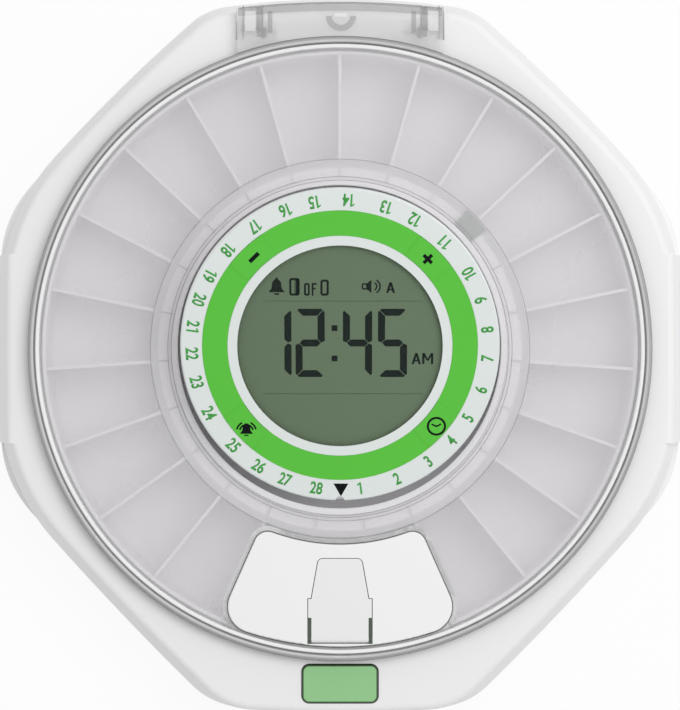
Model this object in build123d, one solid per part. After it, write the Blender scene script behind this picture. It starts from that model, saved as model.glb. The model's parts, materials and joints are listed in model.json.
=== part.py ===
from build123d import *
import os
from math import acos, cos, pi, radians, sin, sqrt, tan

# Automatic pill dispenser: an octagonal white housing carries a round tray of
# compartments, which a gear motor turns under a clear hinged lid. A tilted round
# dial with a display and four keys stands in the middle.
# Millimetres. The origin is on the surface the dispenser stands on, on the tray's
# axis of rotation. +Z is up, the dispensing flap and the green latch button are at
# the front (-Y), and the lid's hinge is at the rear (+Y).

# ---- housing plan: eight corners, mirrored about X = 0, between crowned sides ----
rear_margin = 10.8
side_margin = 10.9
front_margin = 16.2
rear_corner_angle = 21.465
side_corner_rear_angle = 20.825
side_corner_front_angle = 20.914
front_corner_angle = 19.83
rear_crown = 3.6
rear_diagonal_crown = 2.15
side_crown = 0.5
front_diagonal_crown = 1.3
front_crown = 2.3
rear_corner_r = 23.0
front_corner_r = 25.0
base_side_corner_r = 37.0
upper_side_corner_r = 70.0

# ---- housing heights and walls ----
foot_height = 1.5
base_height = 12.0
base_floor = 2.6
wall = 2.2
facet_start = 3.5
facet_inset = 4.2
front_facet_inset = 1.2
deck_z = 29.0
deck_thickness = 2.0
facet_fillet = 2.4
base_edge_fillet = 1.4
lip_height = 1.8
lip_thickness = 1.0
lip_clearance = 0.15
grip_length = 61.6
grip_depth = 1.2

# ---- tray well ----
well_floor_z = 7.4
well_floor_thickness = 2.0
well_wall = 1.6
well_clearance = 1.6
well_ledge_drop = 2.0
well_flange_thickness = 2.0
well_flange_width = 1.7
bearing_ridge_offset = 1.7
bearing_ridge_width = 2.0
bearing_gap = 0.1

# ---- tray ----
compartments = 23
compartment_length = 35.7
tray_wall = 1.4
hub_width = 7.1
hub_wall = 2.2
bore_gap = 3.3
bore_wall = 1.2
tray_floor_z = 8.6
tray_floor_thickness = 1.6
tray_top_z = 29.2
hub_flange_thickness = 1.4
bore_wall_height = 12.4
divider_thickness = 1.0
panel_rib_thickness = 0.8
panel_rib_height = 0.5

# ---- tray gearing: internal ring gear and pinion ----
ring_teeth = 92
pinion_teeth = 24
ring_pitch_gap = 1.0
pressure_angle = 20.0
gear_backlash = 0.16
gear_addendum = 0.8
gear_dedendum = 1.05
gear_height = 6.0
gear_base_z = 8.9
shaft_r = 1.5
shaft_clearance = 0.05

# ---- dial turret ----
display_tilt = 12.5
dial_r = 50.9
dial_center_y = 0.6
dial_front_z = 34.0
dial_thickness = 2.4
dial_edge_fillet = 0.6
turret_wall = 2.0
collar_gap = 0.3
collar_height = 1.8
window_edge_width = 3.1
window_thickness = 1.2
window_ledge = 1.2
window_depth = 0.5
lcd_thickness = 2.8
number_ring_width = 7.0
key_ring_width = 8.1
key_ring_thickness = 1.1
key_half_angle = 9.0
key_angles = {"minus": 133.7, "plus": 45.5, "clock": -39.5, "alarm": -139.0}
key_raise = 0.25
key_travel = 0.5
key_clearance = 0.12
key_flange = 0.9
key_flange_thickness = 0.9
key_stem_r = 1.6
index_notch_r = 1.5
board_edge_gap = 5.3
board_thickness = 1.6
board_depth = 9.4
switch_width = 6.0
switch_body_height = 3.4
plunger_r = 1.2
plunger_gap = 0.05
speaker_r = 10.0
speaker_height = 4.5
board_boss_r = 2.6
board_boss_edge = 7.6
board_boss_angles = (0.0, 90.0, 180.0, 270.0)
spigot_depth = 2.0
spigot_wall = 1.4
spigot_gap = 0.7
strip_edge = 4.7
strip_length = 32.0
strip_width = 2.0

# ---- lid ----
lid_overhang = 4.1
lid_rim_width = 2.3
lid_rim_top_z = 33.4
lid_seat_gap = 0.15
lid_ledge_width = 1.5
lid_ledge_thickness = 0.9
lid_plate_z = 30.4
lid_plate_thickness = 2.0
lid_hole_step = 0.5
lid_clearance = 0.4
lid_bond_gap = 0.05
rim_fillet = 0.9

# ---- lid hinge ----
hinge_offset = 3.5
hinge_z = 28.0
hinge_pin_r = 1.1
hinge_barrel_r = 2.6
leaf_half_width = 33.2
leaf_inset = 3.1
leaf_top_z = 33.0
leaf_thickness = 2.0
leaf_lip_depth = 3.0
leaf_lip_drop = 4.0
leaf_boss_half_width = 5.3
leaf_boss_depth = 4.0
lug_inner_x = 20.6
lug_width = 5.0
lug_gap = 0.4
pocket_gap = 0.7
pocket_front_offset = 4.2
pocket_floor_z = 18.0
pocket_wall = 1.8

# ---- dispensing panel and flap, both in the lid ----
panel_half_angle = 24.0
panel_inner_step = 2.0
panel_outer_gap = 4.7
panel_outer_corner_r = 8.5
panel_inner_corner_r = 4.5
panel_rise = 0.4
panel_gap = 0.3
panel_flange_width = 1.4
panel_flange_thickness = 0.8
flap_front_edge = 1.2
flap_length = 27.3
flap_step_from_front = 14.3
flap_shoulder_end_from_front = 8.2
flap_rear_width = 13.9
flap_width = 18.5
flap_shoulder_width = 20.6
flap_thickness = 1.6
flap_gap = 0.25
flap_barrel_r = 1.3
flap_pin_r = 0.6
flap_pin_seat = 2.4
flap_pin_clearance = 0.04
flap_stop_depth = 1.0

# ---- latch ----
button_width = 24.6
button_depth = 12.4
button_offset = 7.7
button_corner_r = 2.6
button_rise = 0.8
button_travel = 2.0
button_cap_height = 4.6
button_gap = 0.3
button_flange = 0.8
button_flange_thickness = 1.0
cam_width = 4.0
cam_thickness = 1.6
cam_gap = 0.1
slider_width = 10.6
slider_height = 4.6
slider_top_z = 22.4
catch_width = 9.0
catch_drop = 8.4
catch_thickness = 1.5
catch_clearance = 0.5
spring_wire_r = 0.3
spring_r = 2.2
spring_turns = 6
spring_x = 9.6
guide_half_width = 12.4
guide_length = 12.0
guide_thickness = 1.6
guide_post_x = 9.6
latch_tip_width = 5.0
latch_tip_z = 19.6
latch_tip_height = 1.6
latch_tip_gap = 0.35
cam_setback = 1.6

# ---- power and drive ----
cell_r = 7.15
cell_length = 49.2
cell_cap_r = 2.7
cell_cap_height = 1.2
cell_gap = 0.4
cell_count = 4
battery_box_wall = 1.4
battery_center_y = -4.0
contact_space = 2.6
contact_thickness = 0.4
door_thickness = 1.6
door_margin = 3.0
door_gap = 0.3
motor_shelf = 1.4
gearbox_width = 30.0
gearbox_height = 9.0
motor_r = 10.0
motor_height = 11.0

sensor_z = 19.4
magnet_z = 23.0
flag_angle = 43.4
flag_half_angle = 4.2
flag_thickness = 0.7

# ---- fasteners and feet ----
screw_r = 1.35
screw_length = 9.0
screw_head_r = 2.8
screw_head_height = 1.6
screw_hole_gap = 0.05
boss_r = 3.4
foot_r = 7.0
foot_recess = 0.6
foot_edge = 7.1

# ---- levels and places worked out from the above ----
base_z = foot_height
split_z = base_z + base_height
bore_r = dial_r + bore_gap
hub_outer_r = bore_r + hub_width
tray_outer_r = hub_outer_r + compartment_length
lid_outer_r = tray_outer_r + lid_overhang
lid_hole_r = bore_r - lid_hole_step
key_ring_outer_r = dial_r - number_ring_width
key_ring_inner_r = key_ring_outer_r - key_ring_width
window_r = key_ring_inner_r - window_edge_width
board_r = dial_r - board_edge_gap
board_boss_pcr = board_r - board_boss_edge
strip_offset = window_r - strip_edge
panel_inner_r = hub_outer_r + panel_inner_step
panel_outer_r = lid_outer_r - panel_outer_gap
flap_front_y = -(panel_outer_r - flap_front_edge)
flap_rear_y = flap_front_y + flap_length
flap_step_y = flap_front_y + flap_step_from_front
flap_shoulder_end_y = flap_front_y + flap_shoulder_end_from_front
button_center_y = -(lid_outer_r + button_offset)
hinge_y = lid_outer_r + hinge_offset
pocket_front_y = hinge_y - pocket_front_offset
foot_ring_r = lid_outer_r - foot_edge
bearing_ridge_r = hub_outer_r + bearing_ridge_offset
rear_corner_y = lid_outer_r + rear_margin
rear_corner_x = rear_corner_y * tan(radians(rear_corner_angle))
side_corner_x = lid_outer_r + side_margin
side_corner_rear_y = side_corner_x * tan(radians(side_corner_rear_angle))
side_corner_front_y = side_corner_x * tan(radians(side_corner_front_angle))
front_corner_y = lid_outer_r + front_margin
front_corner_x = front_corner_y * tan(radians(front_corner_angle))
well_r = tray_outer_r + well_clearance
well_outer_r = well_r + well_wall
well_ledge_z = deck_z - well_ledge_drop
deck_opening_r = lid_outer_r + lid_clearance
well_flange_r = deck_opening_r + well_flange_width
hub_inner_r = hub_outer_r - hub_wall
tilt_cos = cos(radians(display_tilt))
tilt_sin = sin(radians(display_tilt))
dial_center_z = dial_front_z + dial_r * tilt_sin
turret_center_y = dial_center_y + dial_thickness * tilt_sin
dial_frame = Location((0, dial_center_y, dial_center_z), (display_tilt, 0, 0))
ring_pitch_r = bore_r + ring_pitch_gap
gear_module = 2 * ring_pitch_r / ring_teeth
pinion_pitch_r = gear_module * pinion_teeth / 2
pinion_y = ring_pitch_r - pinion_pitch_r
pinion_tip_r = pinion_pitch_r + gear_addendum * gear_module
gear_top_z = gear_base_z + gear_height
shelf_z = gear_top_z + 0.6
lid_skirt_z = well_ledge_z + lid_seat_gap
lid_plate_top_z = lid_plate_z + lid_plate_thickness
flap_axis_y = flap_front_y + flap_barrel_r
flap_top_z = lid_plate_top_z + panel_rise
flap_axis_z = flap_top_z - flap_barrel_r
corner_directions = [
    (side_corner_x, side_corner_rear_y),
    (rear_corner_x, rear_corner_y),
    (-rear_corner_x, rear_corner_y),
    (-side_corner_x, side_corner_rear_y),
    (-side_corner_x, -side_corner_front_y),
    (-front_corner_x, -front_corner_y),
    (front_corner_x, -front_corner_y),
    (side_corner_x, -side_corner_front_y),
]
boss_ring_r = well_outer_r + boss_r + 1.4
room = 2 * side_corner_x
latch_tip_y = -lid_outer_r - latch_tip_gap
guide_center_y = button_center_y
guide_z = slider_top_z - slider_height - 0.1 - guide_thickness
cam_center_y = button_center_y + cam_setback

BOTTOM = (Align.CENTER, Align.CENTER, Align.MIN)
TOP = (Align.CENTER, Align.CENTER, Align.MAX)


# ---- shared shapes ----
def tube(outer_r, inner_r, z0, z1):
    """Ring about the Z axis between two heights."""
    ring = Circle(outer_r) - Circle(inner_r)
    return Pos(0, 0, z0) * extrude(ring, z1 - z0)


def disc(radius, z0, z1):
    """Plain cylinder about the Z axis between two heights."""
    return Pos(0, 0, z0) * Cylinder(radius, z1 - z0, align=BOTTOM)


def block(x0, x1, y0, y1, z0, z1):
    """Box between two corners."""
    return Pos((x0 + x1) / 2, (y0 + y1) / 2, z0) * Box(x1 - x0, y1 - y0, z1 - z0, align=BOTTOM)


def side_circle(x0, y0, x1, y1, crown, inset):
    """Large circle whose edge forms one bulging side between two corners listed clockwise."""
    chord = sqrt((x1 - x0) ** 2 + (y1 - y0) ** 2)
    radius = (chord**2 / 4 + crown**2) / (2 * crown)
    reach = (radius - crown) / chord
    center_x = (x0 + x1) / 2 + (y1 - y0) * reach
    center_y = (y0 + y1) / 2 - (x1 - x0) * reach
    return Pos(center_x, center_y) * Circle(radius - inset)


def housing_plan(side_corner_r, inset=0.0, front_inset=None):
    """Octagonal plan with crowned sides and rounded corners, moved inward by inset."""
    front_side = 4
    if front_inset is None:
        front_inset = inset
    corners = [
        (-rear_corner_x, rear_corner_y, rear_corner_r, rear_crown),
        (rear_corner_x, rear_corner_y, rear_corner_r, rear_diagonal_crown),
        (side_corner_x, side_corner_rear_y, side_corner_r, side_crown),
        (side_corner_x, -side_corner_front_y, side_corner_r, front_diagonal_crown),
        (front_corner_x, -front_corner_y, front_corner_r, front_crown),
        (-front_corner_x, -front_corner_y, front_corner_r, front_diagonal_crown),
        (-side_corner_x, -side_corner_front_y, side_corner_r, side_crown),
        (-side_corner_x, side_corner_rear_y, side_corner_r, rear_diagonal_crown),
    ]
    plan = Rectangle(4 * side_corner_x, 4 * side_corner_x)
    for index, (x, y, _, crown) in enumerate(corners):
        next_x, next_y = corners[(index + 1) % len(corners)][:2]
        side_inset = front_inset if index == front_side else inset
        plan &= side_circle(x, y, next_x, next_y, crown, side_inset)
    for x, y, radius, _ in corners:
        corner = plan.vertices().sort_by_distance(Vector(x, y))[0]
        plan = fillet(corner, radius - inset)
    return plan


def housing_block(side_corner_r, inset=0.0, top_drop=0.0, start_z=split_z, rounding=0.0):
    """Body of the upper housing: upright sides, sloped facets and a flat deck."""
    facet_z = split_z + facet_start
    top_z = deck_z - top_drop
    rise = (top_z - facet_z) / (deck_z - facet_z)
    lower_plan = housing_plan(side_corner_r, inset)
    upper_plan = housing_plan(side_corner_r, inset + facet_inset * rise, inset + front_facet_inset * rise)
    shape = Pos(0, 0, start_z) * extrude(lower_plan, facet_z - start_z)
    shape += loft([Pos(0, 0, facet_z) * lower_plan, Pos(0, 0, top_z) * upper_plan], ruled=True)
    if rounding > 0:
        shape = fillet(shape.edges().group_by(Axis.Z)[-1], rounding)
    return shape


# ---- housing ----
def corner_places(ring_r):
    """Points at one radius, one towards each corner of the plan."""
    places = []
    for x, y in corner_directions:
        length = sqrt(x * x + y * y)
        places.append((x * ring_r / length, y * ring_r / length))
    return places


def foot_places():
    """The four feet, on the diagonals."""
    reach = foot_ring_r * sin(pi / 4)
    return [(reach, reach), (-reach, reach), (-reach, -reach), (reach, -reach)]


def pocket_space(margin, floor_z):
    """Room for the lid's hinge leaf, open to the rear and upward."""
    half = leaf_half_width + pocket_gap + margin
    rear = rear_corner_y + rear_crown + 1.0
    return block(-half, half, pocket_front_y - margin, rear, floor_z, deck_z + 1.0)


def hinge_cylinder(radius, x0, x1):
    """Cylinder along the lid's hinge axis."""
    return Pos(x0, hinge_y, hinge_z) * Rot(0, 90, 0) * Cylinder(radius, x1 - x0, align=BOTTOM)


def both_sides(shape):
    """A shape and its mirror image across X = 0."""
    return shape + mirror(shape, Plane.YZ)


def hinge_lug():
    """Housing ear that holds one hinge pin, standing out from the pocket's front wall."""
    x1 = lug_inner_x + lug_width
    root_y = pocket_front_y - pocket_wall
    arm = block(lug_inner_x, x1, root_y, hinge_y, hinge_z - hinge_barrel_r, deck_z)
    return arm + hinge_cylinder(hinge_barrel_r, lug_inner_x, x1)


def rounded_plate(width, depth, height, corner_r, center_y, z0):
    """Upright block with rounded vertical edges, centred on X = 0."""
    return Pos(0, center_y, z0) * extrude(RectangleRounded(width, depth, corner_r), height)


def make_upper_housing():
    """White octagonal housing: side walls, deck, screw bosses and hinge pocket."""
    half_grip = grip_length / 2
    body = housing_block(upper_side_corner_r, rounding=facet_fillet)
    outside = housing_block(base_side_corner_r, rounding=facet_fillet)
    outside &= block(-room, room, -half_grip, half_grip, 0, deck_z + 1.0)
    outside += body & block(-room, room, half_grip, room, 0, deck_z + 1.0)
    outside += body & block(-room, room, -room, -half_grip, 0, deck_z + 1.0)
    cavity = housing_block(upper_side_corner_r, wall, deck_thickness, split_z - 1.0)
    base_top_z = base_z + base_floor
    boss_top_z = deck_z - deck_thickness + 1.0
    for x, y in corner_places(boss_ring_r):
        post = Pos(x, y, base_top_z) * Cylinder(boss_r, boss_top_z - base_top_z, align=BOTTOM)
        outside += post
        cavity -= post
    shell = outside - cavity
    for x, y in corner_places(boss_ring_r):
        shell -= Pos(x, y, base_top_z) * Cylinder(screw_r + screw_hole_gap, screw_length, align=BOTTOM)
    pocket_block = pocket_space(pocket_wall, pocket_floor_z - pocket_wall)
    shell += pocket_block & housing_block(upper_side_corner_r)
    shell -= pocket_space(0.0, pocket_floor_z)
    shell += both_sides(hinge_lug())
    pin_bore = hinge_cylinder(hinge_pin_r + 0.01, lug_inner_x - 1.0, lug_inner_x + lug_width + 1.0)
    shell -= both_sides(pin_bore)
    shell -= disc(deck_opening_r, 0, deck_z + 3.0) & block(-room, room, -room, room, well_ledge_z, deck_z + 3.0)
    shell -= disc(well_flange_r + 0.1, well_ledge_z - well_flange_thickness - 0.1, well_ledge_z)
    shell -= disc(well_outer_r + 0.2, 0, well_ledge_z)
    hole_width = button_width + 2 * button_gap
    hole_depth = button_depth + 2 * button_gap
    shell -= rounded_plate(hole_width, hole_depth, 10.0, button_corner_r, button_center_y, deck_z - 5.0)
    return shell


def battery_box_half():
    """Half width and half length of the space inside the battery box."""
    half_width = (cell_count * 2 * cell_r + (cell_count + 1) * cell_gap) / 2
    half_length = (cell_length + cell_cap_height) / 2 + contact_space
    return half_width, half_length


def cell_axis_z():
    """Height of the cells' centre lines above the surface."""
    return base_z + door_thickness + cell_gap + cell_r


def make_base_shell():
    """Lower shell: floor, rim with its lip, battery box, ribs, finger grips and foot recesses."""
    cavity_inset = wall + lip_clearance + lip_thickness
    floor_top_z = base_z + base_floor
    shell = Pos(0, 0, base_z) * extrude(housing_plan(base_side_corner_r), base_height)
    bottom_edges = shell.edges().group_by(Axis.Z)[0]
    shell = fillet(bottom_edges, base_edge_fillet)
    lip_plan = housing_plan(upper_side_corner_r, wall + lip_clearance)
    shell += Pos(0, 0, split_z - 1.0) * extrude(lip_plan, lip_height + 1.0)
    cavity = housing_plan(upper_side_corner_r, cavity_inset)
    shell -= Pos(0, 0, floor_top_z) * extrude(cavity, base_height + lip_height)
    lip_trim = pocket_space(pocket_wall + lip_clearance, split_z)
    shell -= lip_trim & block(-room, room, 0, room, split_z, split_z + 2 * lip_height)
    grip_x = side_corner_x + side_crown - grip_depth
    grip = block(grip_x, grip_x + 20, -grip_length / 2, grip_length / 2, floor_top_z, split_z)
    shell -= both_sides(grip)
    rib_top_z = well_floor_z - well_floor_thickness
    shell += tube(well_r - 4.0, well_r - 6.0, floor_top_z, rib_top_z)
    half_width, half_length = battery_box_half()
    outer_x = half_width + battery_box_wall
    outer_y = half_length + battery_box_wall
    roof_z = cell_axis_z() + cell_r + cell_gap
    box = block(-outer_x, outer_x, -outer_y, outer_y, base_z, roof_z + battery_box_wall)
    space = block(-half_width, half_width, -half_length, half_length, base_z - 1.0, roof_z)
    shell += Pos(0, battery_center_y, 0) * box
    shell -= Pos(0, battery_center_y, 0) * space
    door_x = half_width + door_margin + door_gap
    door_y = half_length + door_margin + door_gap
    recess = block(-door_x, door_x, -door_y, door_y, base_z - 1.0, base_z + door_thickness + 0.05)
    shell -= Pos(0, battery_center_y, 0) * recess
    for x, y in corner_places(boss_ring_r):
        shell -= Pos(x, y, base_z) * Cylinder(screw_head_r + 0.3, screw_head_height + 0.1, align=BOTTOM)
        shell -= Pos(x, y, base_z) * Cylinder(screw_r + 0.2, base_floor, align=BOTTOM)
    for x, y in foot_places():
        shell -= Pos(x, y, base_z) * Cylinder(foot_r + 0.05, foot_recess, align=BOTTOM)
    for x in (-guide_post_x, guide_post_x):
        shell += Pos(x, guide_center_y, floor_top_z) * Cylinder(2.4, guide_z - floor_top_z, align=BOTTOM)
    return shell


def make_battery_door():
    """Flush cover under the battery box; it swings down about its rear lower edge."""
    half_width, half_length = battery_box_half()
    x = half_width + door_margin
    y = half_length + door_margin
    door = block(-x, x, -y, y, base_z, base_z + door_thickness)
    pull = block(-6, 6, -y + 2.0, -y + 4.0, base_z - 0.1, base_z + 0.6)
    return Pos(0, battery_center_y, 0) * (door - pull)


def make_rubber_feet():
    """Four round rubber feet set into the base."""
    feet = [Pos(x, y, 0) * foot() for x, y in foot_places()]
    return Compound(children=feet)


def foot():
    """One foot with a rounded lower edge."""
    pad = Cylinder(foot_r, foot_height + foot_recess, align=BOTTOM)
    return fillet(pad.edges().group_by(Axis.Z)[0], 0.5)


def screw():
    """Pan-head screw, head down, with its seat at the origin."""
    head = Pos(0, 0, -screw_head_height) * Cylinder(screw_head_r, screw_head_height, align=BOTTOM)
    head = fillet(head.edges().group_by(Axis.Z)[0], 0.6)
    recess = Pos(0, 0, -screw_head_height) * (Box(2.6, 0.6, 1.6) + Box(0.6, 2.6, 1.6))
    return head - recess + Cylinder(screw_r, screw_length, align=BOTTOM)


def make_housing_screws():
    """Eight screws that hold the base shell to the upper housing."""
    seat_z = base_z + screw_head_height + 0.1
    screws = [Pos(x, y, seat_z) * screw() for x, y in corner_places(boss_ring_r)]
    return Compound(children=screws)


# ---- tray well and dial turret ----
def turret_plan(inset=0.0):
    """Oval plan of the turret, whose slanted top is a circle."""
    return Pos(0, turret_center_y) * Ellipse(dial_r - inset, dial_r * tilt_cos - inset)


def below_dial(depth):
    """Everything below a plane that lies a given depth under the dial's face."""
    return dial_frame * Pos(0, 0, -depth) * Box(400, 400, 200, align=TOP)


def turret_boss_places():
    """The screws that hold the turret to the well's floor."""
    ring_r = dial_r * tilt_cos - turret_wall - boss_r + 1.4
    angles = (40, 140, 220, 320)
    places = []
    for angle in angles:
        places.append((ring_r * cos(radians(angle)), turret_center_y + ring_r * sin(radians(angle))))
    return places


def make_tray_well():
    """Basin that the tray turns in: floor, round wall, flange under the deck, bearing ridge."""
    floor_base_z = well_floor_z - well_floor_thickness
    well = disc(well_outer_r, floor_base_z, well_floor_z)
    well += tube(well_outer_r, well_r, floor_base_z, well_ledge_z)
    well += tube(well_flange_r, well_r, well_ledge_z - well_flange_thickness, well_ledge_z)
    ridge_top_z = tray_floor_z - bearing_gap
    half = bearing_ridge_width / 2
    well += tube(bearing_ridge_r + half, bearing_ridge_r - half, well_floor_z, ridge_top_z)
    half_width, half_length = battery_box_half()
    x = half_width + battery_box_wall + 0.5
    y = half_length + battery_box_wall + 0.5
    well -= Pos(0, battery_center_y, 0) * block(-x, x, -y, y, 0, well_floor_z + 1.0)
    for place_x, place_y in turret_boss_places():
        well -= Pos(place_x, place_y, 0) * Cylinder(screw_r + 0.2, well_floor_z + 1.0, align=BOTTOM)
    pocket = pocket_space(pocket_wall + 0.1, pocket_floor_z - pocket_wall - 0.1)
    well -= pocket - disc(well_outer_r, 0, deck_z)
    slot_half = catch_width / 2 + catch_clearance
    rear_y = button_center_y + button_depth / 2 + button_gap
    side = button_width / 2 + button_gap + button_flange + 0.5
    low_z = well_ledge_z - well_flange_thickness - button_travel
    well -= block(-side, side, -well_flange_r - 1.0, rear_y, low_z, deck_z)
    slot_z = lid_skirt_z - catch_drop - catch_clearance
    well -= block(-slot_half, slot_half, -well_flange_r - 1.0, -well_r + 1.0, slot_z, deck_z)
    return well


def make_display_turret():
    """Oval tower in the middle, cut at the dial's tilt, with the tray's centring collar."""
    tall = dial_center_z + dial_r
    solid = Pos(0, 0, well_floor_z) * extrude(turret_plan(), tall)
    inside = Pos(0, 0, well_floor_z - 1.0) * extrude(turret_plan(turret_wall), tall)
    collar_z = gear_top_z + 2.0
    turret = solid + disc(bore_r - collar_gap, collar_z, collar_z + collar_height)
    turret -= inside
    interior = Pos(0, 0, well_floor_z) * extrude(turret_plan(turret_wall / 2), tall)
    for x, y in turret_boss_places():
        post = Cylinder(boss_r, screw_length + 1.0, align=BOTTOM)
        post -= Cylinder(screw_r + screw_hole_gap, screw_length - 1.0, align=BOTTOM)
        turret += Pos(x, y, well_floor_z) * post & interior
    shelf_y = battery_center_y + battery_box_half()[1] + battery_box_wall + 1.0
    shelf_half = gearbox_width / 2 + 4.0
    shelf = block(-shelf_half, shelf_half, shelf_y, dial_r, shelf_z, shelf_z + motor_shelf)
    turret += shelf & interior
    sensor_shelf = block(dial_r - 7.0, dial_r, -7.0, 7.0, sensor_z - 1.2, sensor_z)
    turret += sensor_shelf & interior
    turret -= Pos(0, pinion_y, 0) * disc(shaft_r + 2.0, 0, shelf_z + 5.0)
    window = pinion_tip_r + 0.6
    turret -= Pos(0, pinion_y, 0) * disc(window, gear_base_z - 0.6, gear_top_z + 0.6)
    return turret & below_dial(dial_thickness)


def make_turret_screws():
    """Four screws up through the well's floor into the turret."""
    floor_base_z = well_floor_z - well_floor_thickness
    screws = [Pos(x, y, floor_base_z) * short_screw() for x, y in turret_boss_places()]
    return Compound(children=screws)


def short_screw():
    """Low-head screw for the inner parts, with its seat at the origin."""
    head = Pos(0, 0, -1.0) * Cylinder(screw_head_r - 0.4, 1.0, align=BOTTOM)
    return head + Cylinder(screw_r, screw_length - 2.0, align=BOTTOM)


# ---- dial: everything here is drawn flat and then tilted by dial_frame ----
def annulus(outer_r, inner_r, depth, top):
    """Flat ring on the dial, between two heights above its face."""
    return Pos(0, 0, -depth) * extrude(Circle(outer_r) - Circle(inner_r), top + depth)


def round_plate(radius, depth, top):
    """Flat disc on the dial, between two heights above its face."""
    return Pos(0, 0, -depth) * extrude(Circle(radius), top + depth)


def key_segment(angle, margin, depth, top):
    """Piece of the key ring around one key, grown by a margin on every side."""
    middle_r = (key_ring_inner_r + key_ring_outer_r) / 2
    half_angle = radians(key_half_angle) + margin / middle_r
    reach = key_ring_outer_r * 1.5
    wedge = Polygon(
        (0, 0),
        (reach * cos(half_angle), -reach * sin(half_angle)),
        (reach * cos(half_angle), reach * sin(half_angle)),
        align=None,
    )
    segment = wedge & (Circle(key_ring_outer_r + margin) - Circle(key_ring_inner_r - margin))
    return Rot(0, 0, angle) * Pos(0, 0, -depth) * extrude(segment, top + depth)


def make_dial_plate():
    """White dial: key ring groove, key windows, display opening, spigot and board bosses."""
    plate = annulus(dial_r, window_r, dial_thickness, 0)
    face_edges = plate.edges().filter_by(GeomType.CIRCLE).group_by(Axis.Z)[-1]
    plate = fillet(face_edges.sort_by(SortBy.LENGTH)[-1], dial_edge_fillet)
    plate -= round_plate(window_r + window_ledge, dial_thickness + 1.0, -window_depth)
    plate -= annulus(key_ring_outer_r, key_ring_inner_r, key_ring_thickness, 1.0)
    spigot_r = dial_r * tilt_cos - turret_wall - spigot_gap
    plate += annulus(spigot_r, spigot_r - spigot_wall, dial_thickness + spigot_depth, -dial_thickness)
    boss_height = board_depth - dial_thickness
    for angle in board_boss_angles:
        post = Cylinder(board_boss_r, boss_height, align=TOP)
        post -= Pos(0, 0, -boss_height) * Cylinder(1.05, boss_height - 1.0, align=BOTTOM)
        plate += Rot(0, 0, angle) * Pos(board_boss_pcr, 0, -dial_thickness) * post
    for angle in key_angles.values():
        plate -= key_segment(angle, 0.0, dial_thickness + 1.0, 1.0)
    plate -= Pos(0, -dial_r, 0) * Cylinder(index_notch_r, 2 * dial_thickness + 1.0)
    return dial_frame * plate


def make_green_ring():
    """Green ring let into the dial, open where the four keys stand."""
    ring = annulus(key_ring_outer_r - 0.05, key_ring_inner_r + 0.05, key_ring_thickness, 0.1)
    for angle in key_angles.values():
        ring -= key_segment(angle, 0.0, key_ring_thickness + 1.0, 1.0)
    return dial_frame * ring


def make_key(angle):
    """One key: green cap, retaining flange below the dial and a stem over its switch."""
    flange_top = dial_thickness + 0.05
    flange_base = flange_top + key_flange_thickness
    stem_end = board_depth - switch_body_height - plunger_height() - plunger_gap - key_travel
    key = key_segment(angle, -key_clearance, flange_base, key_raise)
    key += key_segment(angle, key_flange, flange_base, -flange_top)
    stem_r = (key_ring_inner_r + key_ring_outer_r) / 2
    stem = Cylinder(key_stem_r, stem_end - flange_base, align=TOP)
    key += Rot(0, 0, angle) * Pos(stem_r, 0, -flange_base) * stem
    return dial_frame * key


def plunger_height():
    """Height of a switch's plunger above its body."""
    return 0.8


def make_tact_switches():
    """Four small switches on the board, one under each key."""
    switches = []
    ring_r = (key_ring_inner_r + key_ring_outer_r) / 2
    for angle in key_angles.values():
        body = Box(switch_width, switch_width, switch_body_height, align=BOTTOM)
        body += Cylinder(plunger_r, switch_body_height + plunger_height(), align=BOTTOM)
        switches.append(dial_frame * Rot(0, 0, angle) * Pos(ring_r, 0, -board_depth) * body)
    return Compound(children=switches)


def make_display_window():
    """Clear window set under the dial's opening."""
    pane = round_plate(window_r + window_ledge - 0.05, window_depth + window_thickness, -window_depth)
    return dial_frame * pane


def make_lcd_panel():
    """Round liquid crystal panel under the window."""
    top = window_depth + window_thickness
    return dial_frame * round_plate(window_r + window_ledge - 0.2, top + lcd_thickness, -top)


def make_contact_strips():
    """Two elastomer strips between the panel and the board."""
    top = window_depth + window_thickness + lcd_thickness
    strips = []
    for y in (-strip_offset, strip_offset):
        strip = Pos(0, y, -board_depth) * Box(strip_length, strip_width, board_depth - top, align=BOTTOM)
        strips.append(dial_frame * strip)
    return Compound(children=strips)


def make_control_board():
    """Round circuit board under the dial, with its controller and capacitor."""
    board = Pos(0, 0, -board_depth - board_thickness) * Cylinder(board_r, board_thickness, align=BOTTOM)
    for angle in board_boss_angles:
        hole = Pos(board_boss_pcr, 0, -board_depth) * Cylinder(1.3, 3 * board_thickness)
        board -= Rot(0, 0, angle) * hole
    under = -board_depth - board_thickness
    board += Pos(-14, 8, under) * Box(12, 12, 1.4, align=TOP)
    board += Pos(14, 2, under) * Cylinder(3.0, 5.0, align=TOP)
    return dial_frame * board


def make_board_screws():
    """Four screws that hold the board to the dial's bosses."""
    screws = []
    for angle in board_boss_angles:
        body = Cylinder(2.0, 1.2, align=TOP) + Cylinder(1.0, board_thickness + 4.0, align=BOTTOM)
        place = Pos(board_boss_pcr, 0, -board_depth - board_thickness)
        screws.append(dial_frame * Rot(0, 0, angle) * place * body)
    return Compound(children=screws)


def make_alarm_speaker():
    """Buzzer under the board."""
    under = -board_depth - board_thickness
    body = Pos(0, -22, under) * Cylinder(speaker_r, speaker_height, align=TOP)
    hole = Pos(0, -22, under - speaker_height) * Cylinder(1.5, 2.0)
    return dial_frame * (body - hole)


# ---- tray ----
def make_tray_floor():
    """Ring-shaped floor of the compartments."""
    return tube(tray_outer_r - tray_wall, hub_outer_r, tray_floor_z, tray_floor_z + tray_floor_thickness)


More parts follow.
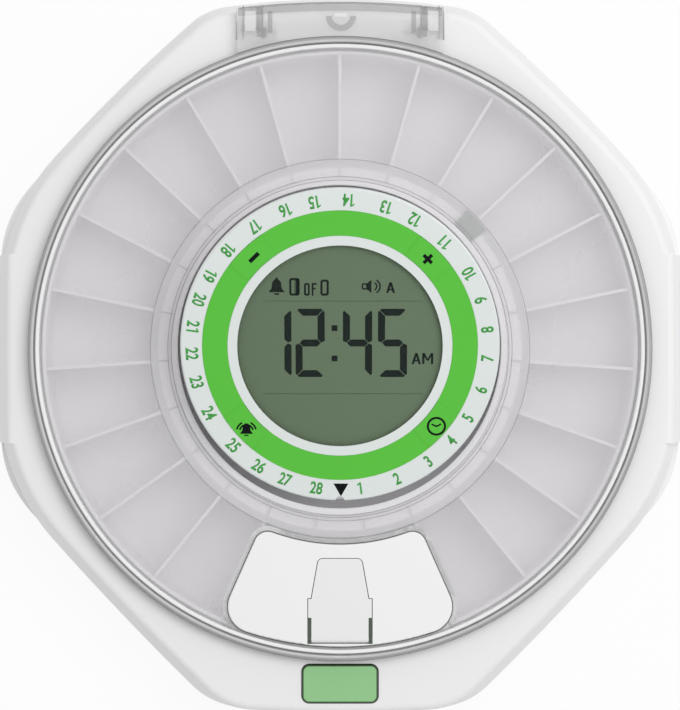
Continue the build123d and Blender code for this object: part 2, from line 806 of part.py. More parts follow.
def make_tray_rim():
    """Outer wall of the tray."""
    rim = tube(tray_outer_r, tray_outer_r - tray_wall, tray_floor_z, tray_top_z)
    return fillet(rim.edges().group_by(Axis.Z)[-1], 0.4)


def make_tray_hub():
    """Inner wall of the tray, its panelled flange and the bore that slides over the collar."""
    panel_z = tray_top_z - panel_rib_height
    hub = tube(hub_outer_r, hub_inner_r, tray_floor_z, tray_top_z)
    hub += tube(bore_r + bore_wall, bore_r, tray_top_z - bore_wall_height, tray_top_z)
    hub += tube(hub_inner_r + 0.1, bore_r + 0.1, panel_z - hub_flange_thickness, panel_z)
    for index in range(compartments):
        half = panel_rib_thickness / 2
        rib = block(bore_r + 0.5, hub_inner_r + 0.5, -half, half, panel_z - 0.5, tray_top_z)
        hub += Rot(0, 0, 90 + index * 360 / compartments) * rib
    hub += magnet_boss() & tube(hub_inner_r + 0.1, bore_r + 0.1, 0, tray_top_z - 0.2)
    hub -= make_home_magnet()
    return hub


def magnet_boss():
    """Block in the hub that the magnet is pressed into."""
    return block(bore_r, hub_inner_r, -4.0, 4.0, magnet_z - 3.5, tray_top_z - 0.2)


def make_home_magnet():
    """Magnet that marks the tray's home position for the sensor."""
    middle_r = (bore_r + bore_wall + hub_inner_r) / 2
    return block(middle_r - 1.0, middle_r + 1.0, -2.5, 2.5, magnet_z - 3.5, magnet_z + 1.5)


def make_tray_dividers():
    """Radial walls between the compartments, the first at the rear."""
    zone = tube(tray_outer_r - tray_wall, hub_outer_r, tray_floor_z + tray_floor_thickness, tray_top_z)
    half = divider_thickness / 2
    blade = block(hub_outer_r - 1.0, tray_outer_r, -half, half, tray_floor_z, tray_top_z) & zone
    walls = [Rot(0, 0, 90 + index * 360 / compartments) * blade.solid() for index in range(compartments)]
    return Compound(children=walls)


def make_index_flag():
    """Clear tinted tab on the hub that points at the dose number."""
    zone = Circle(hub_outer_r - 0.1) - Circle(bore_r + 0.2)
    half_angle = radians(flag_half_angle)
    reach = hub_outer_r * 1.5
    wedge = Polygon(
        (0, 0),
        (reach * cos(half_angle), -reach * sin(half_angle)),
        (reach * cos(half_angle), reach * sin(half_angle)),
        align=None,
    )
    tab = Pos(0, 0, tray_top_z) * extrude(wedge & zone, flag_thickness)
    return Rot(0, 0, flag_angle) * tab


# ---- tray gearing ----
def gear_outline(teeth, root_r, tip_r, thinning):
    """Involute gear face; thinning is taken off each tooth's width at the pitch circle."""
    pitch_r = gear_module * teeth / 2
    base_r = pitch_r * cos(radians(pressure_angle))
    steps = 4

    def spread(radius):
        """Involute function at a radius."""
        angle = acos(min(1.0, base_r / radius))
        return tan(angle) - angle

    half_pitch = pi / (2 * teeth) - thinning / (2 * pitch_r)
    start_r = max(base_r, root_r)
    flank = []
    if start_r > root_r:
        flank.append((root_r, half_pitch + spread(pitch_r)))
    for step in range(steps + 1):
        radius = start_r + (tip_r - start_r) * step / steps
        flank.append((radius, half_pitch + spread(pitch_r) - spread(radius)))
    points = []
    for tooth in range(teeth):
        center = pi / 2 + tooth * 2 * pi / teeth
        for radius, half in flank:
            points.append((radius * cos(center - half), radius * sin(center - half)))
        for radius, half in reversed(flank):
            points.append((radius * cos(center + half), radius * sin(center + half)))
    return make_face(Polyline(*points, close=True))


def make_tray_ring_gear():
    """Internal ring gear fixed inside the tray's hub."""
    inner_r = ring_pitch_r - gear_addendum * gear_module
    root_r = ring_pitch_r + gear_dedendum * gear_module
    teeth = gear_outline(ring_teeth, inner_r, root_r, -gear_backlash)
    return Pos(0, 0, gear_base_z) * extrude(Circle(hub_inner_r) - teeth, gear_height)


def make_drive_pinion():
    """Pinion that meshes with the ring gear through the turret's slot."""
    root_r = pinion_pitch_r - gear_dedendum * gear_module
    wheel = gear_outline(pinion_teeth, root_r, pinion_tip_r, gear_backlash) - Circle(shaft_r)
    return Pos(0, pinion_y, gear_base_z) * extrude(wheel, gear_height)


def make_pinion_shaft():
    """Steel shaft from the gearbox down through the pinion."""
    return Pos(0, pinion_y, 0) * disc(shaft_r, well_floor_z + 0.2, shelf_z + motor_shelf + 4.0)


def make_gear_motor():
    """Motor on its gearbox, which stands on the turret's shelf."""
    rear_y = pinion_y + 5.2
    front_y = battery_center_y + battery_box_half()[1] + battery_box_wall + 1.6
    base = shelf_z + motor_shelf
    box = rounded_plate(gearbox_width, rear_y - front_y, gearbox_height, 2.0, (front_y + rear_y) / 2, base)
    can_z = base + gearbox_height
    can = Pos(0, rear_y - motor_r - 0.4, 0) * disc(motor_r, can_z, can_z + motor_height)
    bore = Pos(0, pinion_y, 0) * disc(shaft_r + shaft_clearance, base - 1.0, base + 4.1)
    return box + can - bore


def make_tray_sensor():
    """Small sensor board on the turret's shelf, facing the tray's magnet."""
    face_x = dial_r - turret_wall - 0.3
    board = block(face_x - 2.4, face_x - 1.2, -5.0, 5.0, sensor_z, sensor_z + 8.0)
    chip = block(face_x - 1.2, face_x, -2.0, 2.0, sensor_z + 3.0, sensor_z + 6.0)
    return board + chip


# ---- battery parts ----
def cell():
    """One cell standing on end, terminal up, centred on its length."""
    body = Pos(0, 0, -(cell_length + cell_cap_height) / 2) * Cylinder(cell_r, cell_length, align=BOTTOM)
    body = fillet(body.edges(), 0.5)
    cap_z = (cell_length - cell_cap_height) / 2
    cap = Pos(0, 0, cap_z) * Cylinder(cell_cap_r, cell_cap_height, align=BOTTOM)
    return body + cap


def cell_places():
    """Centre of each cell, with +1 where its terminal points to the rear."""
    pitch = 2 * cell_r + cell_gap
    first = -pitch * (cell_count - 1) / 2
    return [(first + index * pitch, 1 if index % 2 == 0 else -1) for index in range(cell_count)]


def make_battery_cells():
    """Four cells side by side, turned head to tail."""
    cells = []
    for x, way in cell_places():
        cells.append(Pos(x, battery_center_y, cell_axis_z()) * Rot(-90 * way, 0, 0) * cell())
    return Compound(children=cells)


def make_battery_contacts():
    """Spring contacts and plates at both ends of the cells."""
    half_length = battery_box_half()[1]
    contacts = []
    for x, _ in cell_places():
        for end in (-1, 1):
            plate = Pos(x, battery_center_y + end * half_length, cell_axis_z())
            leaf = Box(10.0, contact_thickness, 10.0)
            bump = Rot(90, 0, 0) * Cone(3.4, 2.2, contact_space - contact_thickness, align=BOTTOM)
            if end < 0:
                bump = Rot(0, 0, 180) * bump
            shape = Pos(0, -end * contact_thickness / 2, 0) * leaf
            shape += Pos(0, -end * contact_thickness, 0) * bump
            contacts.append(plate * shape)
    return Compound(children=contacts)


# ---- lid ----
def make_lid_frame():
    """Clear rim of the lid with its plate ledge, hinge leaf, knuckles and front catch."""
    rim_inner_r = lid_outer_r - lid_rim_width
    rim = tube(lid_outer_r, rim_inner_r, lid_skirt_z, lid_rim_top_z)
    rim = fillet(rim.edges().group_by(Axis.Z)[-1], rim_fillet)
    ledge_z = lid_plate_z - lid_ledge_thickness
    rim += tube(rim_inner_r + 0.2, rim_inner_r - lid_ledge_width, ledge_z, lid_plate_z)
    leaf_base_z = leaf_top_z - leaf_thickness
    inner_y = lid_outer_r * 0.8
    trim = Pos(0, 0, 0) * extrude(housing_plan(base_side_corner_r, leaf_inset), deck_z + 20)
    half = leaf_half_width
    leaf = block(-half, half, inner_y, room, leaf_base_z, leaf_top_z) & trim
    leaf = fillet(leaf.edges().group_by(Axis.Z)[-1].sort_by(Axis.Y)[-1], 1.2)
    inner_trim = extrude(housing_plan(base_side_corner_r, leaf_inset + leaf_lip_depth), deck_z + 20)
    lip_half = lug_inner_x - 0.8
    lip = block(-lip_half, lip_half, inner_y, room, leaf_top_z - leaf_lip_drop, leaf_base_z) & trim
    lip -= inner_trim
    arm_x = lug_inner_x + lug_width + lug_gap
    arm = block(arm_x, half, hinge_y - hinge_barrel_r, hinge_y + hinge_barrel_r, hinge_z, leaf_base_z)
    arm += hinge_cylinder(hinge_barrel_r, arm_x, half)
    arm -= hinge_cylinder(hinge_pin_r + 0.05, arm_x - 1.0, half - 0.8)
    leaf += both_sides(arm) + lip
    boss_half = leaf_boss_half_width
    boss_rear_y = hinge_y + 4.0
    boss_z = leaf_base_z - 1.2
    leaf += block(-boss_half, boss_half, boss_rear_y - leaf_boss_depth, boss_rear_y, boss_z, leaf_base_z)
    leaf -= disc(rim_inner_r + lid_rim_width / 2, 0, leaf_top_z + 5.0)
    leaf_cut = disc(rim_inner_r + lid_rim_width / 2, 0, leaf_top_z + 5.0)
    frame = rim + (leaf - leaf_cut)
    return frame + lid_catch()


def lid_catch():
    """Tab under the lid's front edge, with the window that the latch enters."""
    half = catch_width / 2
    low_z = lid_skirt_z - catch_drop
    front_y = -lid_outer_r * cos(half / lid_outer_r)
    tab = block(-half, half, front_y, front_y + catch_thickness, low_z, lid_skirt_z + 1.0)
    window_half = latch_tip_width / 2 + 0.4
    window_top_z = latch_tip_z + latch_tip_height + 0.3
    window = block(-window_half, window_half, front_y - 1.0, front_y + 3.0, latch_tip_z - 0.3, window_top_z)
    return tab - window


def panel_plan(margin=0.0):
    """Plan of the dispensing panel: a sector of a ring with rounded corners."""
    half_angle = radians(panel_half_angle)
    reach = panel_outer_r * 1.5
    wedge = Polygon(
        (0, 0),
        (-reach * sin(half_angle), -reach * cos(half_angle)),
        (reach * sin(half_angle), -reach * cos(half_angle)),
        align=None,
    )
    plan = wedge & (Circle(panel_outer_r) - Circle(panel_inner_r))
    outer = plan.vertices().sort_by(Axis.Y)[:2]
    plan = fillet(outer, panel_outer_corner_r)
    inner = plan.vertices().sort_by(Axis.Y)[-2:]
    plan = fillet(inner, panel_inner_corner_r)
    if margin > 0:
        plan = offset(plan, amount=margin)
    return plan


def flap_plan(margin=0.0):
    """Plan of the flap: narrow at the rear, with shoulders half way."""
    rear = flap_rear_width / 2
    side = flap_width / 2
    shoulder = flap_shoulder_width / 2
    right = [
        (rear, flap_rear_y),
        (side, flap_step_y),
        (shoulder, flap_step_y),
        (shoulder, flap_shoulder_end_y),
        (side, flap_shoulder_end_y),
        (side, flap_front_y),
    ]
    left = [(-x, y) for x, y in reversed(right)]
    plan = make_face(Polyline(*right, *left, close=True))
    plan = fillet(plan.vertices().sort_by(Axis.Y)[-2:], 1.6)
    if margin > 0:
        plan = offset(plan, amount=margin, kind=Kind.INTERSECTION)
    return plan


def flap_opening():
    """Plan of the panel's opening: the flap with its gap, and straight sides beside the shoulders."""
    half = flap_shoulder_width / 2 + flap_gap
    plan = flap_plan(flap_gap)
    slots = Pos(0, (flap_step_y + flap_front_y) / 2)
    slots = slots * Rectangle(2 * half, flap_step_y - flap_front_y + 2 * flap_gap)
    return plan + slots


def make_lid_plate():
    """Clear plate of the lid, open in the middle for the dial and at the front for the panel."""
    plate_r = lid_outer_r - lid_rim_width - lid_bond_gap
    plate = tube(plate_r, lid_hole_r, lid_plate_z, lid_plate_top_z)
    return plate - Pos(0, 0, lid_plate_z - 1.0) * extrude(panel_plan(panel_gap), lid_plate_thickness + 2.0)


def make_dispensing_panel():
    """White panel in the lid with the opening that the flap closes."""
    panel = Pos(0, 0, lid_plate_z) * extrude(panel_plan(), flap_top_z - lid_plate_z)
    top_edges = panel.edges().group_by(Axis.Z)[-1]
    panel = fillet(top_edges, 0.5)
    flange_r = lid_outer_r - lid_rim_width - lid_ledge_width - 0.15
    flange_z = lid_plate_z - panel_flange_thickness
    flange = extrude(panel_plan(panel_gap + panel_flange_width), panel_flange_thickness)
    panel += Pos(0, 0, flange_z) * flange & disc(flange_r, 0, deck_z + 20)
    panel -= Pos(0, 0, flange_z - 1.0) * extrude(flap_opening(), 20)
    stop_top_z = flap_top_z - flap_thickness - 0.05
    stop_half = flap_rear_width / 2 + flap_gap + 0.2
    stop_y = flap_rear_y + flap_gap + 0.2
    panel += block(-stop_half, stop_half, stop_y - flap_stop_depth - 0.5, stop_y, flange_z, stop_top_z)
    pin_half = flap_shoulder_width / 2 + flap_gap + flap_pin_seat
    panel -= flap_axis_cylinder(flap_pin_r + 0.01, -pin_half, pin_half)
    return panel


def flap_axis_cylinder(radius, x0, x1):
    """Cylinder along the flap's hinge axis."""
    return Pos(x0, flap_axis_y, flap_axis_z) * Rot(0, 90, 0) * Cylinder(radius, x1 - x0, align=BOTTOM)


def make_flap_pin():
    """Steel pin that the flap turns on, seated in the panel at both ends."""
    half = flap_shoulder_width / 2 + flap_gap + flap_pin_seat
    return flap_axis_cylinder(flap_pin_r, -half, half)


def make_dispensing_flap():
    """White flap over the opening that the pills fall through."""
    flap = Pos(0, 0, flap_top_z - flap_thickness) * extrude(flap_plan(), flap_thickness)
    flap -= block(-50, 50, flap_front_y - 1.0, flap_axis_y, 0, 100)
    barrel_half = flap_width / 2
    flap += flap_axis_cylinder(flap_barrel_r, -barrel_half, barrel_half)
    return flap - flap_axis_cylinder(flap_pin_r + flap_pin_clearance, -barrel_half - 1, barrel_half + 1)


def make_hinge_pins():
    """Two steel pins, pressed into the housing's lugs and carrying the lid."""
    pin = hinge_cylinder(hinge_pin_r, lug_inner_x, leaf_half_width - 1.0)
    return Compound(children=[pin, mirror(pin, Plane.YZ)])


# ---- latch ----
def make_latch_button():
    """Green button: rounded cap, retaining flange under the deck and slanted cam."""
    cap_top_z = deck_z + button_rise
    cap_base_z = cap_top_z - button_cap_height
    corner_r = button_corner_r - button_gap
    cap = rounded_plate(button_width, button_depth, button_cap_height, corner_r, button_center_y, cap_base_z)
    cap = fillet(cap.edges().group_by(Axis.Z)[-1], 0.7)
    grow = button_gap + button_flange
    width = button_width + 2 * grow
    depth = button_depth + button_flange
    flange_z = deck_z - deck_thickness - 0.1 - button_flange_thickness
    center_y = button_center_y - button_flange / 2
    cap += rounded_plate(width, depth, button_flange_thickness, corner_r, center_y, flange_z)
    return cap + cam_bar(0.0, cam_width, slider_base_z() - 1.2, cap_base_z + 1.0)


def slider_base_z():
    """Underside of the latch slider."""
    return slider_top_z - slider_height


def cam_bar(grow, width, z0, z1):
    """Bar in the button's middle that leans forward as it rises, at 45 degrees."""
    half = cam_thickness / 2 * sqrt(2) + grow
    level = slider_top_z - slider_height / 2

    def lean(z):
        """Centre of the bar at a height."""
        return cam_center_y - (z - level)

    side = Polygon(
        (lean(z0) - half, z0),
        (lean(z0) + half, z0),
        (lean(z1) + half, z1),
        (lean(z1) - half, z1),
        align=None,
    )
    return Pos(width / 2, 0, 0) * extrude(Plane.YZ * side, -width)


def make_latch_slider():
    """Slider that the button's cam pulls forward, with the tip that enters the lid's catch."""
    half = slider_width / 2
    rear_y = slider_rear_y()
    body = block(-half, half, slider_front_y(), rear_y, slider_base_z(), slider_top_z)
    tip_half = latch_tip_width / 2
    tip = block(-tip_half, tip_half, rear_y - 1.0, latch_tip_y, latch_tip_z, latch_tip_z + latch_tip_height)
    return body + tip - cam_bar(cam_gap, cam_width + 2 * cam_gap, 0, deck_z)


def slider_rear_y():
    """Rear face of the slider's body, clear of the lid's catch."""
    return latch_tip_y - 1.2


def slider_front_y():
    """Front face of the slider's body."""
    return cam_center_y - slider_height / 2 - cam_thickness - 2.6


def make_latch_guide():
    """Channel that carries the slider and the two button springs, on posts of the base shell."""
    half = slider_width / 2 + 0.2
    side = half + 1.6
    floor_top = slider_base_z() - 0.1
    rear_y = guide_center_y + guide_length / 2
    front_y = guide_center_y - guide_length / 2
    guide = block(-guide_half_width, guide_half_width, front_y, rear_y, guide_z, floor_top)
    guide += both_sides(block(half, side, front_y, rear_y, guide_z, slider_top_z))
    slot_half = cam_width / 2 + 0.5
    slot_front_y = cam_center_y - cam_thickness
    guide -= block(-slot_half, slot_half, slot_front_y, rear_y + 1.0, guide_z - 1.0, floor_top)
    return guide


def make_button_springs():
    """Two coil springs that push the button up."""
    floor_top = slider_base_z() - 0.1
    ceiling = deck_z + button_rise - button_cap_height
    height = ceiling - floor_top - 2 * spring_wire_r - 0.1
    pitch = height / spring_turns
    path = Helix(pitch, height, spring_r)
    start = path.position_at(0)
    section = Plane(origin=start, z_dir=path.tangent_at(0)) * Circle(spring_wire_r)
    coil = sweep(section, path=path)
    springs = []
    for x in (-spring_x, spring_x):
        springs.append(Pos(x, guide_center_y, floor_top + spring_wire_r + 0.05) * coil)
    return Compound(children=springs)


makers = {
    "base_shell": make_base_shell,
    "upper_housing": make_upper_housing,
    "battery_door": make_battery_door,
    "rubber_feet": make_rubber_feet,
    "housing_screws": make_housing_screws,
    "tray_well": make_tray_well,
    "display_turret": make_display_turret,
    "turret_screws": make_turret_screws,
    "dial_plate": make_dial_plate,
    "green_ring": make_green_ring,
    "display_window": make_display_window,
    "lcd_panel": make_lcd_panel,
    "contact_strips": make_contact_strips,
    "control_board": make_control_board,
    "board_screws": make_board_screws,
    "tact_switches": make_tact_switches,
    "alarm_speaker": make_alarm_speaker,
    "tray_floor": make_tray_floor,
    "tray_hub": make_tray_hub,
    "tray_rim": make_tray_rim,
    "tray_dividers": make_tray_dividers,
    "tray_ring_gear": make_tray_ring_gear,
    "home_magnet": make_home_magnet,
    "index_flag": make_index_flag,
    "gear_motor": make_gear_motor,
    "pinion_shaft": make_pinion_shaft,
    "drive_pinion": make_drive_pinion,
    "tray_sensor": make_tray_sensor,
    "battery_cells": make_battery_cells,
    "battery_contacts": make_battery_contacts,
    "lid_frame": make_lid_frame,
    "lid_plate": make_lid_plate,
    "dispensing_panel": make_dispensing_panel,
    "dispensing_flap": make_dispensing_flap,
    "flap_pin": make_flap_pin,
    "hinge_pins": make_hinge_pins,
    "latch_button": make_latch_button,
    "latch_slider": make_latch_slider,
    "latch_guide": make_latch_guide,
    "button_springs": make_button_springs,
}

os.makedirs("parts", exist_ok=True)
for name, maker in makers.items():
    export_step(maker(), f"parts/{name}.step")
for name, angle in key_angles.items():
    export_step(make_key(angle), f"parts/key_{name}.step")
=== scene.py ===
"""Looks of the automatic pill dispenser: finishes, printed marks, display, clear lid and studio."""

import json
import logging
import math
from dataclasses import dataclass
from enum import Enum
from typing import Any, Callable, Optional, Sequence, Union

import bpy
from mathutils import Matrix, Vector

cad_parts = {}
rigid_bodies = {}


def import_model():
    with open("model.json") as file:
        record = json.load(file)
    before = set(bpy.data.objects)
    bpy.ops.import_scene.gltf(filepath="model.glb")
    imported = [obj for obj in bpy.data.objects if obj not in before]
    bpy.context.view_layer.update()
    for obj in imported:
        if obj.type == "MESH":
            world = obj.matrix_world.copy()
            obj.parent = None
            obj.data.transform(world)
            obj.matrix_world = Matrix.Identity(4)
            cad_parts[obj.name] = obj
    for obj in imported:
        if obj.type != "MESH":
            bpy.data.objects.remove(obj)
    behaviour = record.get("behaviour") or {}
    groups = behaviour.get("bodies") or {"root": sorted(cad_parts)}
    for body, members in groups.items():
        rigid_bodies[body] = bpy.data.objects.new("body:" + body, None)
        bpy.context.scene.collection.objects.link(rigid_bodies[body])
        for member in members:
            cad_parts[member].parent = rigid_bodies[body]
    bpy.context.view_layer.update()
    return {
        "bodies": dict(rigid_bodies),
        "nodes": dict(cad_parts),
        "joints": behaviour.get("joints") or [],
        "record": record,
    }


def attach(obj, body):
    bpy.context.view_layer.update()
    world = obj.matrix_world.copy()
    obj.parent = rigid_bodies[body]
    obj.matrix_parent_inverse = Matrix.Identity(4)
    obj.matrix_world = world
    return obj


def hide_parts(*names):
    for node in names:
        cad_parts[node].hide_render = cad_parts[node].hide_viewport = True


MM = 0.001
FULL_TURN = 2 * math.pi
SMOOTH_ANGLE = math.radians(32)
PRINT_THICKNESS = 0.04
SAME_PLACE = 1e-7
ARC_STEPS = 12
LOG = logging.getLogger("pill_dispenser")

Point2 = tuple[float, float]
Colour = tuple[float, float, float]
Number = Union[float, "Signal"]


class Element(Enum):
    """Kind of mesh element that a selection picks."""

    VERTEX = "VERT"
    FACE = "FACE"


# ---- workbench: small helpers around Blender's own operators ----
def clear_selection() -> None:
    """Leave edit mode and select nothing."""
    active = bpy.context.view_layer.objects.active
    if active is not None and active.mode != "OBJECT":
        bpy.ops.object.mode_set(mode="OBJECT")
    bpy.ops.object.select_all(action="DESELECT")


def take(piece: bpy.types.Object) -> None:
    """Select one object alone and make it active.

    Args:
        piece: the object to work on.
    """
    clear_selection()
    piece.select_set(True)
    bpy.context.view_layer.objects.active = piece


class Edit:
    """Edit mode on one object, with everything selected at the start."""

    def __init__(self, piece: bpy.types.Object) -> None:
        """Remember the object."""
        self.piece = piece

    def __enter__(self) -> None:
        """Enter edit mode."""
        take(self.piece)
        bpy.ops.object.mode_set(mode="EDIT")
        bpy.ops.mesh.select_mode(type="VERT")
        bpy.ops.mesh.select_all(action="SELECT")

    def __exit__(self, *_: Any) -> None:
        """Leave edit mode."""
        bpy.ops.object.mode_set(mode="OBJECT")


def pick(piece: bpy.types.Object, kind: Element, test: Callable[[Vector, Vector], bool]) -> None:
    """Select elements in edit mode by their place and normal, and nothing else.

    Args:
        piece: the object that is in edit mode.
        kind: what to select.
        test: takes a centre and a normal, and says whether to select.
    """
    bpy.ops.mesh.select_mode(type=kind.value)
    bpy.ops.mesh.select_all(action="DESELECT")
    bpy.ops.object.mode_set(mode="OBJECT")
    if kind is Element.FACE:
        for face in piece.data.polygons:
            face.select = test(face.center, face.normal)
    else:
        for vertex in piece.data.vertices:
            vertex.select = test(vertex.co, vertex.normal)
    bpy.ops.object.mode_set(mode="EDIT")


def settle(piece: bpy.types.Object, place: Optional[Matrix] = None) -> bpy.types.Object:
    """Put an object's place into its mesh, so that the object itself sits at the origin.

    Args:
        piece: the object.
        place: where it goes, on top of where it is.

    Returns:
        The same object.
    """
    take(piece)
    if place is not None:
        piece.matrix_world = place @ piece.matrix_world
    bpy.ops.object.transform_apply(location=True, rotation=True, scale=True)
    return piece


def spot(x: float, y: float, turn: float = 0.0) -> Matrix:
    """A place on a flat face: x and y in millimetres and a turn in degrees."""
    return Matrix.Translation((x * MM, y * MM, 0)) @ Matrix.Rotation(math.radians(turn), 4, "Z")


def lift(height: float) -> Matrix:
    """A step up by a height in millimetres."""
    return Matrix.Translation((0, 0, height * MM))


def join(name: str, pieces: Sequence[bpy.types.Object]) -> bpy.types.Object:
    """Join several settled objects into one.

    Args:
        name: the name of the result.
        pieces: the objects.

    Returns:
        The joined object.
    """
    take(pieces[0])
    for piece in pieces[1:]:
        piece.select_set(True)
    if len(pieces) > 1:
        bpy.ops.object.join()
    pieces[0].name = name
    pieces[0].data.name = name
    return pieces[0]


def copy_of(piece: bpy.types.Object, place: Matrix) -> bpy.types.Object:
    """Copy an object with its own mesh and put the copy in place.

    Args:
        piece: the object to copy.
        place: where the copy goes.

    Returns:
        The copy, settled.
    """
    double = piece.copy()
    double.data = piece.data.copy()
    bpy.context.scene.collection.objects.link(double)
    return settle(double, place)


def repeat(piece: bpy.types.Object, places: Sequence[Matrix]) -> list[bpy.types.Object]:
    """Set a piece in several places, each copy with its own mesh.

    Args:
        piece: the object, which goes to the first place itself.
        places: where the pieces go.

    Returns:
        The pieces, settled.
    """
    copies = [copy_of(piece, place) for place in places[1:]]
    return [settle(piece, places[0]), *copies]


def turned(name: str, profile: Sequence[Point2], steps: int = 240) -> bpy.types.Object:
    """Ring spun about the Z axis from a closed profile.

    Args:
        name: the name of the piece.
        profile: radius and height of each corner, in millimetres, in order round the section.
        steps: how many steps the full turn has.

    Returns:
        The ring, with its normals outward.
    """
    clear_selection()
    bpy.ops.mesh.primitive_plane_add(size=MM)
    ring = bpy.context.object
    ring.name = name
    with Edit(ring):
        bpy.ops.mesh.merge(type="CENTER")
        bpy.ops.transform.translate(value=(profile[0][0] * MM, 0, profile[0][1] * MM))
        for (r0, z0), (r1, z1) in zip(profile, profile[1:]):
            step = ((r1 - r0) * MM, 0, (z1 - z0) * MM)
            bpy.ops.mesh.extrude_region_move(TRANSFORM_OT_translate={"value": step})
        ends = [Vector((r * MM, 0, z * MM)) for r, z in (profile[0], profile[-1])]
        pick(ring, Element.VERTEX, lambda place, _: min((place - end).length for end in ends) < SAME_PLACE)
        bpy.ops.mesh.edge_face_add()
        bpy.ops.mesh.select_all(action="SELECT")
        bpy.ops.mesh.spin(steps=steps, angle=FULL_TURN, center=(0, 0, 0), axis=(0, 0, 1))
        bpy.ops.mesh.select_all(action="SELECT")
        bpy.ops.mesh.remove_doubles(threshold=0.004 * MM)
        bpy.ops.mesh.normals_make_consistent(inside=False)
    take(ring)
    bpy.ops.object.shade_smooth_by_angle(angle=SMOOTH_ANGLE)
    return ring


def bar(length: float, width: float, thickness: float, bevel: float = 0.0) -> bpy.types.Object:
    """Flat bar lying on Z = 0, centred, along X, with optional rounded corners.

    Args:
        length: millimetres along X.
        width: millimetres along Y.
        thickness: millimetres along Z.
        bevel: corner radius in millimetres.

    Returns:
        The bar.
    """
    clear_selection()
    bpy.ops.mesh.primitive_plane_add(size=1.0)
    flat = bpy.context.object
    flat.scale = (length * MM, width * MM, 1)
    settle(flat)
    with Edit(flat):
        if bevel > 0:
            bpy.ops.mesh.bevel(offset=bevel * MM, segments=6, affect="VERTICES")
        bpy.ops.mesh.select_all(action="SELECT")
        raise_flat(thickness)
    return flat


def raise_flat(thickness: float) -> None:
    """In edit mode, give the selected flat faces a thickness and a closed bottom.

    Args:
        thickness: millimetres along Z.
    """
    bpy.ops.mesh.extrude_region_move(TRANSFORM_OT_translate={"value": (0, 0, thickness * MM)})
    bpy.ops.mesh.select_all(action="SELECT")
    bpy.ops.mesh.normals_make_consistent(inside=False)


def polygon(corners: Sequence[Point2], thickness: float) -> bpy.types.Object:
    """Flat many-sided plate lying on Z = 0, grown corner by corner.

    Args:
        corners: X and Y of each corner in millimetres, in order.
        thickness: millimetres along Z.

    Returns:
        The plate.
    """
    clear_selection()
    bpy.ops.mesh.primitive_plane_add(size=MM)
    plate = bpy.context.object
    with Edit(plate):
        bpy.ops.mesh.merge(type="CENTER")
        bpy.ops.transform.translate(value=(corners[0][0] * MM, corners[0][1] * MM, 0))
        for (x0, y0), (x1, y1) in zip(corners, corners[1:]):
            step = ((x1 - x0) * MM, (y1 - y0) * MM, 0)
            bpy.ops.mesh.extrude_region_move(TRANSFORM_OT_translate={"value": step})
        bpy.ops.mesh.select_all(action="SELECT")
        bpy.ops.mesh.edge_face_add()
        raise_flat(thickness)
    return plate


def lettering(text: str, height: float, stretch: float, gain: float) -> bpy.types.Object:
    """Flat printed characters, centred on the origin.

    Args:
        text: what to print.
        height: height of a digit in millimetres.
        stretch: width against the font's own.
        gain: how far the strokes are swelled, as a share of the font's size.

    Returns:
        The characters as a mesh.
    """
    digit_share = 0.729
    clear_selection()
    bpy.ops.object.text_add()
    word = bpy.context.object
    word.data.body = text
    word.data.align_x = "CENTER"
    word.data.align_y = "CENTER"
    word.data.offset = gain
    word.data.resolution_u = 5
    take(word)
    bpy.ops.object.convert(target="MESH")
    word = bpy.context.object
    size = height * MM / digit_share
    word.scale = (size * stretch, size, 1)
    settle(word)
    across, up = ([vertex.co[axis] for vertex in word.data.vertices] for axis in (0, 1))
    with Edit(word):
        bpy.ops.transform.translate(value=(-(min(across) + max(across)) / 2, -(min(up) + max(up)) / 2, 0))
        bpy.ops.mesh.remove_doubles(threshold=0.002 * MM)
        raise_flat(PRINT_THICKNESS)
    return word


def upright_band(name: str, inner: Sequence[Point2], width: float, low: float,
                 height: float) -> bpy.types.Object:
    """Upright closed band that follows an outline.

    Args:
        name: the name of the piece.
        inner: inner outline in millimetres.
        width: how thick the band is, outward, in millimetres.
        low: height of its underside in millimetres.
        height: millimetres along Z.

    Returns:
        The band.
    """
    band = settle(polygon(inner, height), lift(low))
    band.name = name
    with Edit(band):
        pick(band, Element.FACE, lambda _, normal: abs(normal.z) > 0.5)
        bpy.ops.mesh.delete(type="ONLY_FACE")
        bpy.ops.mesh.select_all(action="SELECT")
        bpy.ops.mesh.normals_make_consistent(inside=False)
    take(band)
    wall = band.modifiers.new("wall", "SOLIDIFY")
    wall.thickness = width * MM
    wall.offset = 1.0
    wall.use_even_offset = True
    bpy.ops.object.modifier_apply(modifier=wall.name)
    return band


def arc_points(center: Point2, radius: float, start: float, end: float, steps: int) -> list[Point2]:
    """Evenly spaced points on part of a circle.

    Args:
        center: centre in millimetres.
        radius: millimetres.
        start: first angle in radians.
        end: last angle in radians.
        steps: how many steps there are between them.

    Returns:
        The points, with both ends.
    """
    angles = [start + (end - start) * index / steps for index in range(steps + 1)]
    return [(center[0] + radius * math.cos(angle), center[1] + radius * math.sin(angle)) for angle in angles]


def arc(radius: float, width: float, span: Point2, thickness: float, center: Point2) -> bpy.types.Object:
    """Flat part of a ring between two angles.

    Args:
        radius: middle radius in millimetres.
        width: width of the stroke in millimetres.
        span: first and last angle in degrees.
        thickness: millimetres along Z.
        center: centre of the ring in millimetres.

    Returns:
        The arc.
    """
    start, end = (math.radians(angle) for angle in span)
    rim = arc_points(center, radius - width / 2, end, start, ARC_STEPS)
    return polygon(rim + arc_points(center, radius + width / 2, start, end, ARC_STEPS), thickness)


